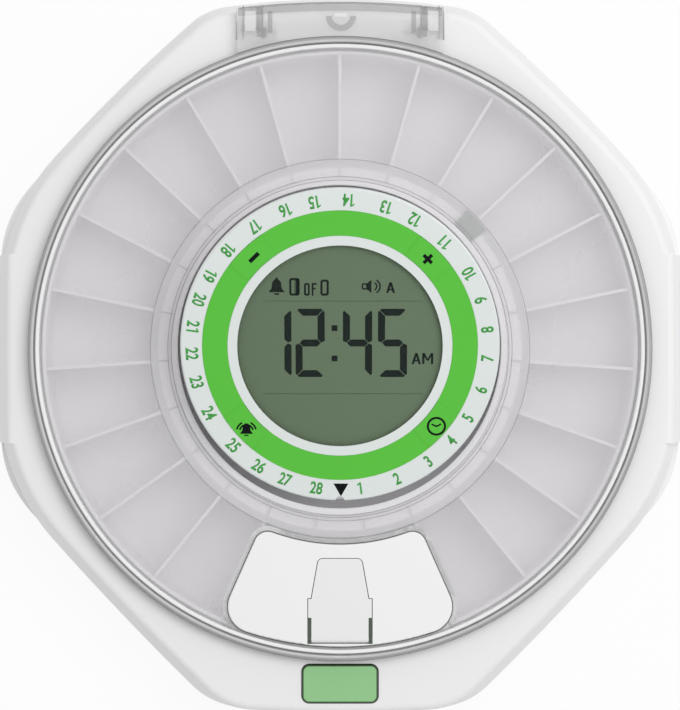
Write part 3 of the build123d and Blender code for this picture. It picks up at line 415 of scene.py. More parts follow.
def bell_shape(size: float, thickness: float) -> bpy.types.Object:
    """Flat bell with its clapper, about 4 mm wide at size 1.

    Args:
        size: scale against the normal size.
        thickness: millimetres along Z.

    Returns:
        The bell.
    """
    half = ((0.0, 1.9), (0.55, 1.75), (1.0, 1.35), (1.2, 0.75), (1.3, -0.3), (1.5, -0.8), (2.0, -1.35),
            (2.0, -1.6))
    rim = [(x * size, y * size) for x, y in half]
    rim += [(-x, y) for x, y in reversed(rim[1:])]
    clapper = settle(bar(1.3 * size, 0.42 * size, thickness, 0.15 * size), spot(0, -2.1 * size))
    return join("bell_shape", [polygon(rim, thickness), clapper])


# ---- shading: one sheet of nodes per material, with arithmetic on its sockets ----
class Signal:
    """A number that varies over a surface, with Python's own arithmetic."""

    def __init__(self, sheet: "Sheet", socket: bpy.types.NodeSocket) -> None:
        """Wrap an output socket.

        Args:
            sheet: the sheet that the socket is on.
            socket: the output.
        """
        self.sheet = sheet
        self.socket = socket

    def _apply(self, operation: str, first: Number, second: Number) -> "Signal":
        """Add a Math node, and give its result, for one operation on two numbers."""
        node = self.sheet.add("ShaderNodeMath", {"operation": operation}, {0: first, 1: second})
        return Signal(self.sheet, node.outputs[0])

    def __add__(self, other: Number) -> "Signal":
        """self + other."""
        return self._apply("ADD", self, other)

    def __radd__(self, other: Number) -> "Signal":
        """other + self."""
        return self._apply("ADD", other, self)

    def __sub__(self, other: Number) -> "Signal":
        """self - other."""
        return self._apply("SUBTRACT", self, other)

    def __rsub__(self, other: Number) -> "Signal":
        """other - self."""
        return self._apply("SUBTRACT", other, self)

    def __mul__(self, other: Number) -> "Signal":
        """self * other."""
        return self._apply("MULTIPLY", self, other)

    def __rmul__(self, other: Number) -> "Signal":
        """other * self."""
        return self._apply("MULTIPLY", other, self)

    def __pow__(self, other: Number) -> "Signal":
        """self ** other."""
        return self._apply("POWER", self, other)

    def above(self, limit: float) -> "Signal":
        """1 where the number is greater than a limit, 0 elsewhere."""
        return self._apply("GREATER_THAN", self, limit)

    def at_least(self, limit: float) -> "Signal":
        """The number, or a limit where the number is smaller."""
        return self._apply("MAXIMUM", self, limit)

    def clamped(self) -> "Signal":
        """The number kept between 0 and 1."""
        low = self.at_least(0.0)
        return low._apply("MINIMUM", low, 1.0)

    def absolute(self) -> "Signal":
        """The number without its sign."""
        return self._apply("ABSOLUTE", self, 0.0)

    def bearing(self, ahead: "Signal") -> "Signal":
        """Angle of a point to the side of straight ahead, with this number as its step to the side."""
        return self._apply("ARCTAN2", self, ahead)

    def off_whole(self) -> "Signal":
        """How far the number is from the nearest whole number."""
        return self._apply("PINGPONG", self, 0.5)

    def distance(self, other: "Signal") -> "Signal":
        """Length of the line whose steps are this number and another."""
        return (self * self + other * other) ** 0.5


class Sheet:
    """The node tree of one material."""

    def __init__(self, name: str) -> None:
        """Start a material with only its output.

        Args:
            name: the material's name.
        """
        self.material = bpy.data.materials.new(name)
        self.material.use_nodes = True
        self.tree = self.material.node_tree
        self.tree.nodes.clear()
        self.output = self.tree.nodes.new("ShaderNodeOutputMaterial")

    def add(self, kind: str, settings: Optional[dict[str, Any]] = None,
            sockets: Optional[dict[Any, Any]] = None) -> bpy.types.Node:
        """Add a node.

        Args:
            kind: the node's type.
            settings: properties that are set first; "stops" fills a colour ramp.
            sockets: values or links of its inputs.

        Returns:
            The node.
        """
        node = self.tree.nodes.new(kind)
        for key, value in (settings or {}).items():
            if key == "stops":
                self._fill_ramp(node, value)
            else:
                setattr(node, key, value)
        for key, value in (sockets or {}).items():
            self.feed(node.inputs[key], value)
        return node

    def _fill_ramp(self, node: bpy.types.Node, stops: Sequence[tuple[float, Colour]]) -> None:
        """Set the stops of a colour ramp.

        Args:
            node: the ramp's node.
            stops: place and colour of each stop.
        """
        ramp = node.color_ramp
        while len(ramp.elements) < len(stops):
            ramp.elements.new(0.5)
        for element, (place, colour) in zip(ramp.elements, stops):
            element.position = place
            element.color = (*colour, 1)

    def feed(self, socket: bpy.types.NodeSocket, value: Any) -> None:
        """Link or set one input.

        Args:
            socket: the input.
            value: a Signal, an output socket, or a plain value.
        """
        if isinstance(value, Signal):
            self.tree.links.new(value.socket, socket)
        elif isinstance(value, bpy.types.NodeSocket):
            self.tree.links.new(value, socket)
        elif isinstance(value, tuple) and len(value) == 3 and socket.type == "RGBA":
            socket.default_value = (*value, 1)
        else:
            socket.default_value = value

    def place(self, scale: tuple[float, float, float] = (1, 1, 1)) -> bpy.types.NodeSocket:
        """Object coordinates, scaled."""
        source = self.add("ShaderNodeTexCoord").outputs["Object"]
        return self.add("ShaderNodeMapping", None, {"Vector": source, "Scale": scale}).outputs[0]

    def axes(self) -> tuple[Signal, ...]:
        """X, Y and Z of the Object coordinates, in metres."""
        parts = self.add("ShaderNodeSeparateXYZ", None, {0: self.place()})
        return tuple(Signal(self, part) for part in parts.outputs)

    def true_normal(self) -> bpy.types.NodeSocket:
        """The flat normal of each face."""
        return self.add("ShaderNodeNewGeometry").outputs["True Normal"]

    def noise(self, per_mm: float, detail: float = 2.0, roughness: float = 0.5,
              vector: Optional[bpy.types.NodeSocket] = None) -> Signal:
        """Soft noise.

        Args:
            per_mm: waves per millimetre.
            detail: how many finer layers it has.
            roughness: how strong those are.
            vector: coordinates other than the plain ones.

        Returns:
            The noise, about 0.5 on average.
        """
        where = vector if vector is not None else self.place()
        sockets = {"Vector": where, "Scale": per_mm / MM, "Detail": detail, "Roughness": roughness}
        node = self.add("ShaderNodeTexNoise", {"noise_dimensions": "3D"}, sockets)
        return Signal(self, node.outputs["Fac"])

    def mix(self, share: Number, first: Any, second: Any) -> bpy.types.NodeSocket:
        """Mix two colours.

        Args:
            share: share of the second colour.
            first: a colour.
            second: a colour.

        Returns:
            The mixed colour.
        """
        node = self.add("ShaderNodeMix", {"data_type": "RGBA"})
        self.feed(node.inputs[0], share)
        self.feed(node.inputs[6], first)
        self.feed(node.inputs[7], second)
        return node.outputs[2]

    def bump(self, height: Signal, depth_mm: float, strength: float = 1.0) -> bpy.types.NodeSocket:
        """Bump from a height signal."""
        sockets = {"Height": height, "Distance": depth_mm * MM, "Strength": strength}
        return self.add("ShaderNodeBump", None, sockets).outputs[0]

    def shade(self, **sockets: Any) -> bpy.types.Material:
        """Finish the material with one Principled shader.

        Args:
            sockets: its inputs, with underscores for spaces.

        Returns:
            The material.
        """
        named = {key.replace("_", " "): value for key, value in sockets.items()}
        shader = self.add("ShaderNodeBsdfPrincipled", None, named)
        self.tree.links.new(shader.outputs[0], self.output.inputs[0])
        return self.material


def scaled(colour: Colour, factor: float) -> Colour:
    """A colour made lighter or darker."""
    return (colour[0] * factor, colour[1] * factor, colour[2] * factor)


@dataclass(frozen=True)
class MouldedPlastic:
    """Injection-moulded plastic with a fine spark-eroded grain and faint flow marks."""

    name: str
    colour: Colour
    roughness: float = 0.45
    grain_per_mm: float = 3.0
    grain_mm: float = 0.012
    mottle: float = 0.02
    coat: float = 0.0
    flow_per_mm: float = 0.03
    grain_sheen: float = 0.12
    flow_sheen: float = 0.08

    def build(self) -> bpy.types.Material:
        """Make the material.

        Returns:
            The material.
        """
        sheet = Sheet(self.name)
        flow = sheet.noise(self.flow_per_mm, 3)
        grain = sheet.noise(self.grain_per_mm, 3, 0.6)
        base = sheet.mix(flow, scaled(self.colour, 1 - self.mottle), scaled(self.colour, 1 + self.mottle))
        rough = self.roughness + (grain - 0.5) * self.grain_sheen + (flow - 0.5) * self.flow_sheen
        return sheet.shade(
            Base_Color=base,
            Roughness=rough,
            Coat_Weight=self.coat,
            Coat_Roughness=0.12,
            IOR=1.48,
            Normal=sheet.bump(grain, self.grain_mm, 0.5),
        )


@dataclass(frozen=True)
class ClearPlastic:
    """Clear moulded plastic: a tint, polished, with hairline handling marks; grey tints of it also serve as
    painted shade and pale ones as painted highlights.
    """

    name: str
    colour: Colour
    cover: float
    roughness: float = 0.06
    edge_cover: float = 0.2
    coat: float = 0.4
    gloss: float = 0.5

    def build(self) -> bpy.types.Material:
        """Make the material.

        Returns:
            The material.
        """
        sheet = Sheet(self.name)
        marks = sheet.noise(0.1, 3, 0.6)
        haze = sheet.noise(0.02, 2)
        true_normal = sheet.true_normal()
        weight = sheet.add("ShaderNodeLayerWeight", None, {"Blend": 0.35, "Normal": true_normal})
        edge = weight.outputs["Facing"]
        cover = self.cover + Signal(sheet, edge) * self.edge_cover + (haze - 0.5) * 0.02
        return sheet.shade(
            Base_Color=sheet.mix(haze, scaled(self.colour, 0.98), scaled(self.colour, 1.02)),
            Roughness=self.roughness + (marks - 0.5) * 0.05,
            Alpha=cover.clamped(),
            IOR=1.49,
            Specular_IOR_Level=self.gloss,
            Coat_Weight=self.coat,
            Coat_Roughness=0.04,
            Normal=true_normal,
        )


@dataclass(frozen=True)
class HubPlastic:
    """Tray plastic of the hub: a flange whose ribs at the dividers carry thin dark lines of painted shade, and
    painted shade darkening the wall outside it.
    """

    name: str
    colour: Colour
    wall_r: float
    wall_tone: float = 0.58
    ribs: int = 23
    rib_half_mm: float = 0.32
    rib_tone: float = 0.5
    rib_start_r: float = 55.6
    flange_tone: float = 0.9
    rib_share: float = 0.9

    def build(self) -> bpy.types.Material:
        """Make the material.

        Returns:
            The material.
        """
        sheet = Sheet(self.name)
        x, y, _ = sheet.axes()
        radius = x.distance(y)
        # painted shade: the band of the hub's wall outside wall_r comes out darker
        wall = radius.above(self.wall_r * MM)
        turn = x.bearing(y) * (self.ribs / FULL_TURN)
        off_rib = turn.off_whole() * radius * (FULL_TURN / self.ribs)
        # painted shade: a thin dark line along each rib of the flange
        rib = (1.0 - off_rib.above(self.rib_half_mm * MM)) * radius.above(self.rib_start_r * MM) * (1.0 - wall)
        flow = sheet.noise(0.03, 3)
        grain = sheet.noise(1.5, 3, 0.6)
        flange = scaled(self.colour, self.flange_tone)
        tone = sheet.mix(flow, scaled(flange, 0.97), flange)
        base = sheet.mix(wall, tone, scaled(self.colour, self.wall_tone))
        base = sheet.mix(rib * self.rib_share, base, scaled(self.colour, self.rib_tone))
        return sheet.shade(Base_Color=base, Roughness=0.32 + (grain - 0.5) * 0.1, Coat_Weight=0.15,
                           Coat_Roughness=0.12, Normal=sheet.bump(grain, 0.006, 0.4))


@dataclass(frozen=True)
class RimmedPlastic:
    """Coloured button plastic with painted shade: dark along its rim and down its sides, where the gap round it is
    in shadow.
    """

    name: str
    colour: Colour
    half_mm: Point2
    corner_mm: float
    center_y_mm: float
    rim_mm: float = 0.5
    rim_tone: float = 0.16

    def build(self) -> bpy.types.Material:
        """Make the material.

        Returns:
            The material.
        """
        sheet = Sheet(self.name)
        x, y, _ = sheet.axes()
        past = []
        for along, half in zip((x, y - self.center_y_mm * MM), self.half_mm):
            past.append((along.absolute() - (half - self.corner_mm) * MM).at_least(0.0))
        # painted shade: a dark band along the rim and down the sides
        rim = past[0].distance(past[1]).above((self.corner_mm - self.rim_mm) * MM)
        flow = sheet.noise(0.04, 3)
        grain = sheet.noise(2.5, 3, 0.6)
        tone = sheet.mix(flow, scaled(self.colour, 0.96), scaled(self.colour, 1.02))
        base = sheet.mix(rim, tone, scaled(self.colour, self.rim_tone))
        return sheet.shade(Base_Color=base, Roughness=0.4 + (grain - 0.5) * 0.1, Coat_Weight=0.1,
                           Coat_Roughness=0.15, Normal=sheet.bump(grain, 0.008, 0.4))


@dataclass(frozen=True)
class BandedClear:
    """Clear moulding with painted highlights and painted shade: bright and dark lines at fixed radii where its
    ridges catch the light.
    """

    name: str
    leaf: Colour
    cover: float
    first_r: float
    last_r: float
    bands: tuple[tuple[float, float], ...]
    band_cover: float = 0.9
    edge_cover: float = 0.4

    def build(self) -> bpy.types.Material:
        """Make the material.

        Returns:
            The material.
        """
        sheet = Sheet(self.name)
        x, y, _ = sheet.axes()
        radius = x.distance(y) * (1 / MM)
        span = self.last_r - self.first_r
        share = ((radius - self.first_r) * (1 / span)).clamped()
        # painted highlights and painted shade: bright and dark tones by radius
        stops = [((band_r - self.first_r) / span, (tone, tone, tone * 1.01)) for band_r, tone in self.bands]
        ramp = sheet.add("ShaderNodeValToRGB", {"stops": stops}, {0: share})
        outside = radius.above(self.last_r)
        haze = sheet.noise(0.05, 3)
        tint = sheet.mix(haze, scaled(self.leaf, 0.96), scaled(self.leaf, 1.04))
        base = sheet.mix(outside, ramp.outputs[0], tint)
        edge = Signal(sheet, sheet.add("ShaderNodeLayerWeight", None, {"Blend": 0.3}).outputs["Facing"])
        cover = (1.0 - outside) * (self.band_cover - self.cover) + self.cover + edge * self.edge_cover
        return sheet.shade(Base_Color=base, Roughness=0.1 + haze * 0.06, Alpha=cover.clamped(), IOR=1.49,
                           Coat_Weight=0.3, Coat_Roughness=0.05)


@dataclass(frozen=True)
class Ink:
    """Pad-printed ink, slightly uneven in tone and sheen; the same flat finish also gives painted shade in gaps,
    slots and round the display.
    """

    name: str
    colour: Colour
    roughness: float = 0.5
    gloss: float = 0.35

    def build(self) -> bpy.types.Material:
        """Make the material.

        Returns:
            The material.
        """
        sheet = Sheet(self.name)
        film = sheet.noise(0.6, 3)
        base = sheet.mix(film, scaled(self.colour, 0.9), scaled(self.colour, 1.1))
        return sheet.shade(
            Base_Color=base,
            Roughness=self.roughness + (film - 0.5) * 0.15,
            Specular_IOR_Level=self.gloss,
        )


@dataclass(frozen=True)
class DisplayGlass:
    """Reflective liquid crystal panel behind its polariser, with painted light: a little lighter towards its
    right, the side the light comes from.
    """

    name: str
    colour: Colour
    width_mm: float = 66.0
    lean_share: float = 0.55

    def build(self) -> bpy.types.Material:
        """Make the material.

        Returns:
            The material.
        """
        sheet = Sheet(self.name)
        cloud = sheet.noise(0.02, 2)
        film = sheet.noise(0.05, 2)
        # painted light: lighter towards the right
        lean = sheet.axes()[0] * (1 / (self.width_mm * MM)) + 0.5
        tone = (lean * self.lean_share + cloud * (1 - self.lean_share)).clamped()
        base = sheet.mix(tone, scaled(self.colour, 0.93), scaled(self.colour, 1.08))
        return sheet.shade(Base_Color=base, Roughness=0.5 + film * 0.1, Specular_IOR_Level=0.15,
                           Normal=sheet.true_normal())


@dataclass(frozen=True)
class Metal:
    """Bare or plated metal with fine drawing lines along one direction."""

    name: str
    colour: Colour
    roughness: float = 0.3
    stretch: tuple[float, float, float] = (1, 1, 12)

    def build(self) -> bpy.types.Material:
        """Make the material.

        Returns:
            The material.
        """
        sheet = Sheet(self.name)
        lines = sheet.noise(1.5, 4, 0.6, sheet.place(self.stretch))
        stain = sheet.noise(0.15, 3)
        base = sheet.mix(stain, scaled(self.colour, 0.88), self.colour)
        return sheet.shade(Base_Color=base, Metallic=1.0, Roughness=self.roughness + (lines - 0.5) * 0.2,
                           Normal=sheet.bump(lines, 0.004, 0.4))


@dataclass(frozen=True)
class SoftRubber:
    """Moulded rubber, dull, with a dusty bloom."""

    name: str
    colour: Colour
    bloom_tone: float = 2.4

    def build(self) -> bpy.types.Material:
        """Make the material.

        Returns:
            The material.
        """
        sheet = Sheet(self.name)
        bloom = sheet.noise(0.4, 4, 0.65)
        grain = sheet.noise(4.0, 2)
        base = sheet.mix(bloom ** 2.0, self.colour, scaled(self.colour, self.bloom_tone))
        return sheet.shade(Base_Color=base, Roughness=0.75 + (grain - 0.5) * 0.15,
                           Normal=sheet.bump(grain, 0.02, 0.5))


@dataclass(frozen=True)
class CircuitBoard:
    """Solder mask over copper tracks."""

    name: str
    mask: Colour = (0.012, 0.11, 0.035)
    track: Colour = (0.03, 0.2, 0.07)
    pad: Colour = (0.72, 0.6, 0.32)
    track_scale: float = 160.0
    track_width: float = 0.06
    pad_scale: float = 260.0
    pad_reach: float = 0.16

    def build(self) -> bpy.types.Material:
        """Make the material.

        Returns:
            The material.
        """
        sheet = Sheet(self.name)
        brick = sheet.add("ShaderNodeTexBrick", {"offset": 0.37},
                          {"Vector": sheet.place(), "Scale": self.track_scale, "Mortar Size": self.track_width,
                           "Color1": (0, 0, 0), "Color2": (0, 0, 0), "Mortar": (1, 1, 1)})
        cells = sheet.add("ShaderNodeTexVoronoi", None, {"Vector": sheet.place(), "Scale": self.pad_scale})
        tracks = Signal(sheet, brick.outputs["Color"])
        pads = 1.0 - Signal(sheet, cells.outputs["Distance"]).above(self.pad_reach)
        base = sheet.mix(tracks, self.mask, self.track)
        base = sheet.mix(pads, base, self.pad)
        return sheet.shade(Base_Color=base, Metallic=pads * 0.9, Roughness=0.35 + tracks * 0.05,
                           Normal=sheet.bump(tracks + pads, 0.02, 0.5))


@dataclass(frozen=True)
class CellSleeve:
    """Printed sleeve of a dry cell: a broad dark part, a band and bare steel ends."""

    name: str
    centre_y: float
    half_length: float
    bare_end: float = 1.6
    band_start: float = 8.0
    sleeve: Colour = (0.03, 0.04, 0.055)
    band: Colour = (0.62, 0.5, 0.24)
    steel: Colour = (0.6, 0.6, 0.6)

    def build(self) -> bpy.types.Material:
        """Make the material.

        Returns:
            The material.
        """
        sheet = Sheet(self.name)
        along = sheet.axes()[1] - self.centre_y * MM
        ends = along.absolute().above((self.half_length - self.bare_end) * MM)
        band = along.above(self.band_start * MM)
        film = sheet.noise(0.8, 3)
        base = sheet.mix(band, self.sleeve, self.band)
        base = sheet.mix(ends, base, self.steel)
        return sheet.shade(Base_Color=base, Metallic=ends * 0.9, Roughness=0.28 + (film - 0.5) * 0.1,
                           Normal=sheet.bump(film, 0.004, 0.3))


@dataclass(frozen=True)
class StripedRubber:
    """Elastomer connector: fine dark and pale layers across its length."""

    name: str
    dark: Colour = (0.03, 0.03, 0.035)
    pale: Colour = (0.3, 0.3, 0.32)
    layer_scale: float = 400.0

    def build(self) -> bpy.types.Material:
        """Make the material.

        Returns:
            The material.
        """
        sheet = Sheet(self.name)
        wave = sheet.add("ShaderNodeTexWave", {"bands_direction": "X"},
                         {"Vector": sheet.place(), "Scale": self.layer_scale, "Distortion": 0.0})
        stripes = Signal(sheet, wave.outputs["Fac"])
        base = sheet.mix(stripes, self.dark, self.pale)
        return sheet.shade(Base_Color=base, Roughness=0.6 + stripes * 0.1,
                           Normal=sheet.bump(stripes, 0.01, 0.3))


# ---- finishes of the dispenser ----
@dataclass
class Paintbox:
    """All finishes, made once and given out by name."""

    body_white: Colour = (0.87, 0.87, 0.87)
    inner_white: Colour = (0.86, 0.85, 0.87)
    tray_grey: Colour = (0.93, 0.91, 0.935)
    # painted shade: the dividers are the tray's own plastic, darker so that their lit tops come out no brighter
    # than the floors
    divider_grey: Colour = (0.8, 0.78, 0.805)
    dial_white: Colour = (0.76, 0.81, 0.79)
    ring_green: Colour = (0.092, 0.55, 0.035)
    lcd_grey: Colour = (0.145, 0.205, 0.13)
    ink_black: Colour = (0.004, 0.006, 0.006)
    ink_green: Colour = (0.05, 0.36, 0.06)
    button_green: Colour = (0.29, 0.585, 0.265)
    clear_tint: Colour = (0.98, 0.965, 0.985)
    # painted highlights and painted shade on the lid's rim: radius and tone of each band
    rim_bands: tuple[tuple[float, float], ...] = (
        (97.0, 0.85), (98.7, 0.85), (98.85, 0.24), (99.2, 0.3), (99.35, 0.66), (99.9, 0.62),
        (100.1, 0.4), (100.75, 0.36), (100.95, 0.18), (101.2, 0.2),
    )

    def __post_init__(self) -> None:
        """Make every finish."""
        finishes = [
            MouldedPlastic("housing_plastic", self.body_white, 0.5, 2.2, 0.014, 0.006),
            MouldedPlastic("inner_plastic", self.inner_white, 0.5, 2.0, 0.012, 0.01),
            MouldedPlastic("tray_plastic", self.tray_grey, 0.32, 1.5, 0.006, 0.012, 0.15),
            MouldedPlastic("dial_plastic", self.dial_white, 0.38, 2.5, 0.006, 0.008, 0.1),
            MouldedPlastic("ring_plastic", self.ring_green, 0.42, 2.5, 0.006, 0.02, 0.1),
            MouldedPlastic("panel_plastic", (0.9, 0.9, 0.9), 0.45, 2.2, 0.01, 0.006),
            MouldedPlastic("flap_plastic", (0.85, 0.85, 0.85), 0.45, 2.2, 0.01, 0.006),
            # painted shade in the slots beside the flap
            Ink("slot_shade_grey", (0.095, 0.12, 0.095), 0.6, 0.2),
            RimmedPlastic("button_plastic", self.button_green, (12.3, 6.2), 2.3, -108.8),
            MouldedPlastic("acetal", (0.74, 0.73, 0.69), 0.4, 2.0, 0.008, 0.02),
            MouldedPlastic("black_plastic", (0.02, 0.02, 0.022), 0.45, 3.0, 0.012, 0.1),
            MouldedPlastic("divider_plastic", self.divider_grey, 0.32, 1.5, 0.006, 0.012, 0.15),
            HubPlastic("hub_plastic", self.tray_grey, 59.15),
            ClearPlastic("lid_clear", self.clear_tint, 0.27, 0.08, 0.03),
            # painted shade and painted highlights seen through the hinge leaf
            ClearPlastic("leaf_painted_shade", (0.3, 0.3, 0.305), 0.3, 0.08, 0.05),
            ClearPlastic("leaf_painted_highlight", (0.92, 0.92, 0.93), 0.45, 0.08, 0.05),
            # painted shade in the gap round the panel
            Ink("seam_shade_grey", (0.1, 0.105, 0.1), 0.6, 0.2),
            # dark lines of painted shade seen through the hinge leaf
            MouldedPlastic("leaf_shadow_line", (0.33, 0.33, 0.34), 0.25, 1.5, 0.004, 0.03, 0.3),
            BandedClear("rim_clear", (0.84, 0.835, 0.85), 0.34, 97.0, 101.2, self.rim_bands),
            # painted highlight of the lid's edge bead
            MouldedPlastic("rim_painted_highlight", (0.9, 0.9, 0.9), 0.25, 1.5, 0.004, 0.01, 0.3),
            ClearPlastic("window_clear", (0.1, 0.11, 0.1), 0.02, 0.12, 0.03, 0.0, 0.1),
            # painted shade lines of the circles at the lid's hole
            ClearPlastic("lid_shade_line", (0.4, 0.4, 0.41), 0.6, 0.1, 0.1),
            ClearPlastic("lip_frost", (0.9, 0.885, 0.905), 0.8, 0.12, 0.1),
            ClearPlastic("flag_clear", (0.13, 0.21, 0.16), 0.62, 0.15, 0.1),
            Ink("black_print_and_shade", self.ink_black, 0.6, 0.1),
            Ink("print_green", self.ink_green),
            Ink("lcd_segment", (0.014, 0.021, 0.018), 0.5, 0.05),
            Ink("lcd_faint", scaled(self.lcd_grey, 0.6), 0.5, 0.1),
            DisplayGlass("lcd_glass", self.lcd_grey),
            Metal("zinc_steel", (0.62, 0.62, 0.6), 0.32),
            Metal("spring_steel", (0.5, 0.5, 0.5), 0.25, (4, 4, 4)),
            Metal("nickel_steel", (0.75, 0.74, 0.7), 0.2, (4, 4, 4)),
            Metal("motor_steel", (0.58, 0.58, 0.58), 0.35, (1, 1, 16)),
            Metal("magnet_nickel", (0.35, 0.35, 0.36), 0.35, (4, 4, 4)),
            SoftRubber("foot_rubber", (0.035, 0.035, 0.036)),
            CircuitBoard("board_green"),
            CellSleeve("cell_sleeve", -4.0, 25.2),
            StripedRubber("strip_rubber"),
        ]
        self.made = {finish.name: finish.build() for finish in finishes}

    def dress(self, piece: bpy.types.Object, finish: str) -> bpy.types.Object:
        """Give a piece one finish.

        Args:
            piece: a new piece or a node of the frame.
            finish: the finish's name.

        Returns:
            The same piece.
        """
        piece.data.materials.clear()
        piece.data.materials.append(self.made[finish])
        return piece


@dataclass
class CarriedNodes:
    """Finish of each node that is shown as it comes from the frame."""

    finishes: tuple[tuple[str, tuple[str, ...]], ...] = (
        ("housing_plastic", ("upper_housing", "base_shell", "battery_door")),
        ("inner_plastic", ("tray_well", "display_turret")),
        ("tray_plastic", ("tray_floor", "tray_rim")),
        ("hub_plastic", ("tray_hub",)),
        ("divider_plastic", ("tray_dividers",)),
        ("dial_plastic", ("dial_plate",)),
        ("ring_plastic", ("green_ring", "key_minus", "key_plus", "key_clock", "key_alarm")),
        ("panel_plastic", ("dispensing_panel",)),
        ("flap_plastic", ("dispensing_flap",)),
        ("button_plastic", ("latch_button",)),
        ("acetal", ("latch_slider", "latch_guide", "tray_ring_gear", "drive_pinion")),
        ("black_plastic", ("tact_switches", "alarm_speaker")),
        ("lid_clear", ("lid_plate",)),
        ("rim_clear", ("lid_frame",)),
        ("flag_clear", ("index_flag",)),
        ("lcd_glass", ("lcd_panel",)),
        ("zinc_steel", ("housing_screws", "turret_screws", "board_screws")),
        ("zinc_steel", ("hinge_pins", "flap_pin", "pinion_shaft")),
        ("spring_steel", ("button_springs",)),
        ("nickel_steel", ("battery_contacts",)),
        ("motor_steel", ("gear_motor",)),
        ("magnet_nickel", ("home_magnet",)),
        ("foot_rubber", ("rubber_feet",)),
        ("board_green", ("control_board", "tray_sensor")),
        ("cell_sleeve", ("battery_cells",)),
        ("strip_rubber", ("contact_strips",)),
    )

    def dress(self, frame: dict[str, Any], paints: Paintbox) -> None:
        """Give every node its finish.

        Args:
            frame: the loaded frame.
            paints: the finishes.
        """
        for finish, nodes in self.finishes:
            for node in nodes:
                paints.dress(frame["nodes"][node], finish)
                LOG.info("node %s: %s", node, finish)


# ---- the dial's face ----
@dataclass
class DialPlane:
    """The tilted plane of the dial's face, in millimetres."""

    center_y: float = 0.6
    front_z: float = 34.0
    radius: float = 50.9
    tilt: float = 12.5

    def matrix(self, height: float = 0.0) -> Matrix:
        """Where things on the dial's face go.

        Args:
            height: how far above the face, in millimetres.

        Returns:
            The place of the face's middle, tilted as the face is.
        """
        tilt = math.radians(self.tilt)
        center = Vector((0, self.center_y, self.front_z + self.radius * math.sin(tilt))) * MM
        return Matrix.Translation(center) @ Matrix.Rotation(tilt, 4, "X") @ lift(height)


@dataclass
class NumberRing:
    """Dose numbers and home mark printed on the dial's white edge."""

    plane: DialPlane
    paints: Paintbox
    radius: float = 47.15
    height: float = 4.0
    stretch: float = 0.74
    stroke_gain: float = 0.024
    advance: float = 2.05
    print_lift: float = -0.01
    mark: tuple[Point2, ...] = ((-2.4, 1.85), (2.4, 1.85), (0, -2.4))
    mark_place: Point2 = (0.3, -46.95)
    mark_thickness: float = 0.05
    angles: tuple[float, ...] = (
        172.2, 157.1, 143.0, 130.7, 119.6, 107.3, 94.5, 83.2, 71.2, 60.0, 44.5, 30.0, 18.0, 3.5,
        350.3, 338.8, 325.4, 311.7, 299.3, 288.9, 277.9, 267.3, 255.8, 242.6, 226.6, 213.6, 202.1, 189.3,
    )

    def build(self) -> None:
        """Print the numbers and the mark."""
        figures = {figure: self._figure(figure) for figure in "0123456789"}
        marks = []
        for dose, clockwise in enumerate(self.angles, start=1):
            angle = math.radians(90 - clockwise)
            place = spot(self.radius * math.cos(angle), self.radius * math.sin(angle), 180 - clockwise)
            text = str(dose)
            for index, figure in enumerate(text):
                shift = (index - (len(text) - 1) / 2) * self.advance
                marks.append(copy_of(figures[figure], place @ spot(shift, 0)))
        for figure in figures.values():
            bpy.data.objects.remove(figure)
        ring = join("dial_numbers", marks)
        settle(ring, self.plane.matrix(self.print_lift))
        self.paints.dress(ring, "print_green")
        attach(ring, "housing")
        mark = polygon(self.mark, self.mark_thickness)
        settle(mark, self.plane.matrix(self.print_lift) @ spot(*self.mark_place))
        mark.name = "dial_home_mark"
        self.paints.dress(mark, "black_print_and_shade")
        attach(mark, "housing")
        LOG.info("pieces dial_numbers and dial_home_mark")

    def _figure(self, figure: str) -> bpy.types.Object:
        """One figure at the origin: the 1 is drawn by its corners, and the 9 is a 6 turned round.

        Args:
            figure: which one.

        Returns:
            The figure.
        """
        if figure == "1":
            return self._one()
        turn = 180 if figure == "9" else 0
        letter = "6" if figure == "9" else figure
        return settle(lettering(letter, self.height, self.stretch, self.stroke_gain), spot(0, 0, turn))

    def _one(self) -> bpy.types.Object:
        """Narrow 1 with a flag at its top.

        Returns:
            The figure.
        """
        top, half = self.height / 2, self.height * 0.075
        flag = -half * 3.3
        corners = ((half, -top), (half, top), (-half * 0.3, top), (flag, top - self.height * 0.13),
                   (flag, top - self.height * 0.27), (-half, top - self.height * 0.17), (-half, -top))
        return settle(polygon(corners, PRINT_THICKNESS), spot(half, 0))


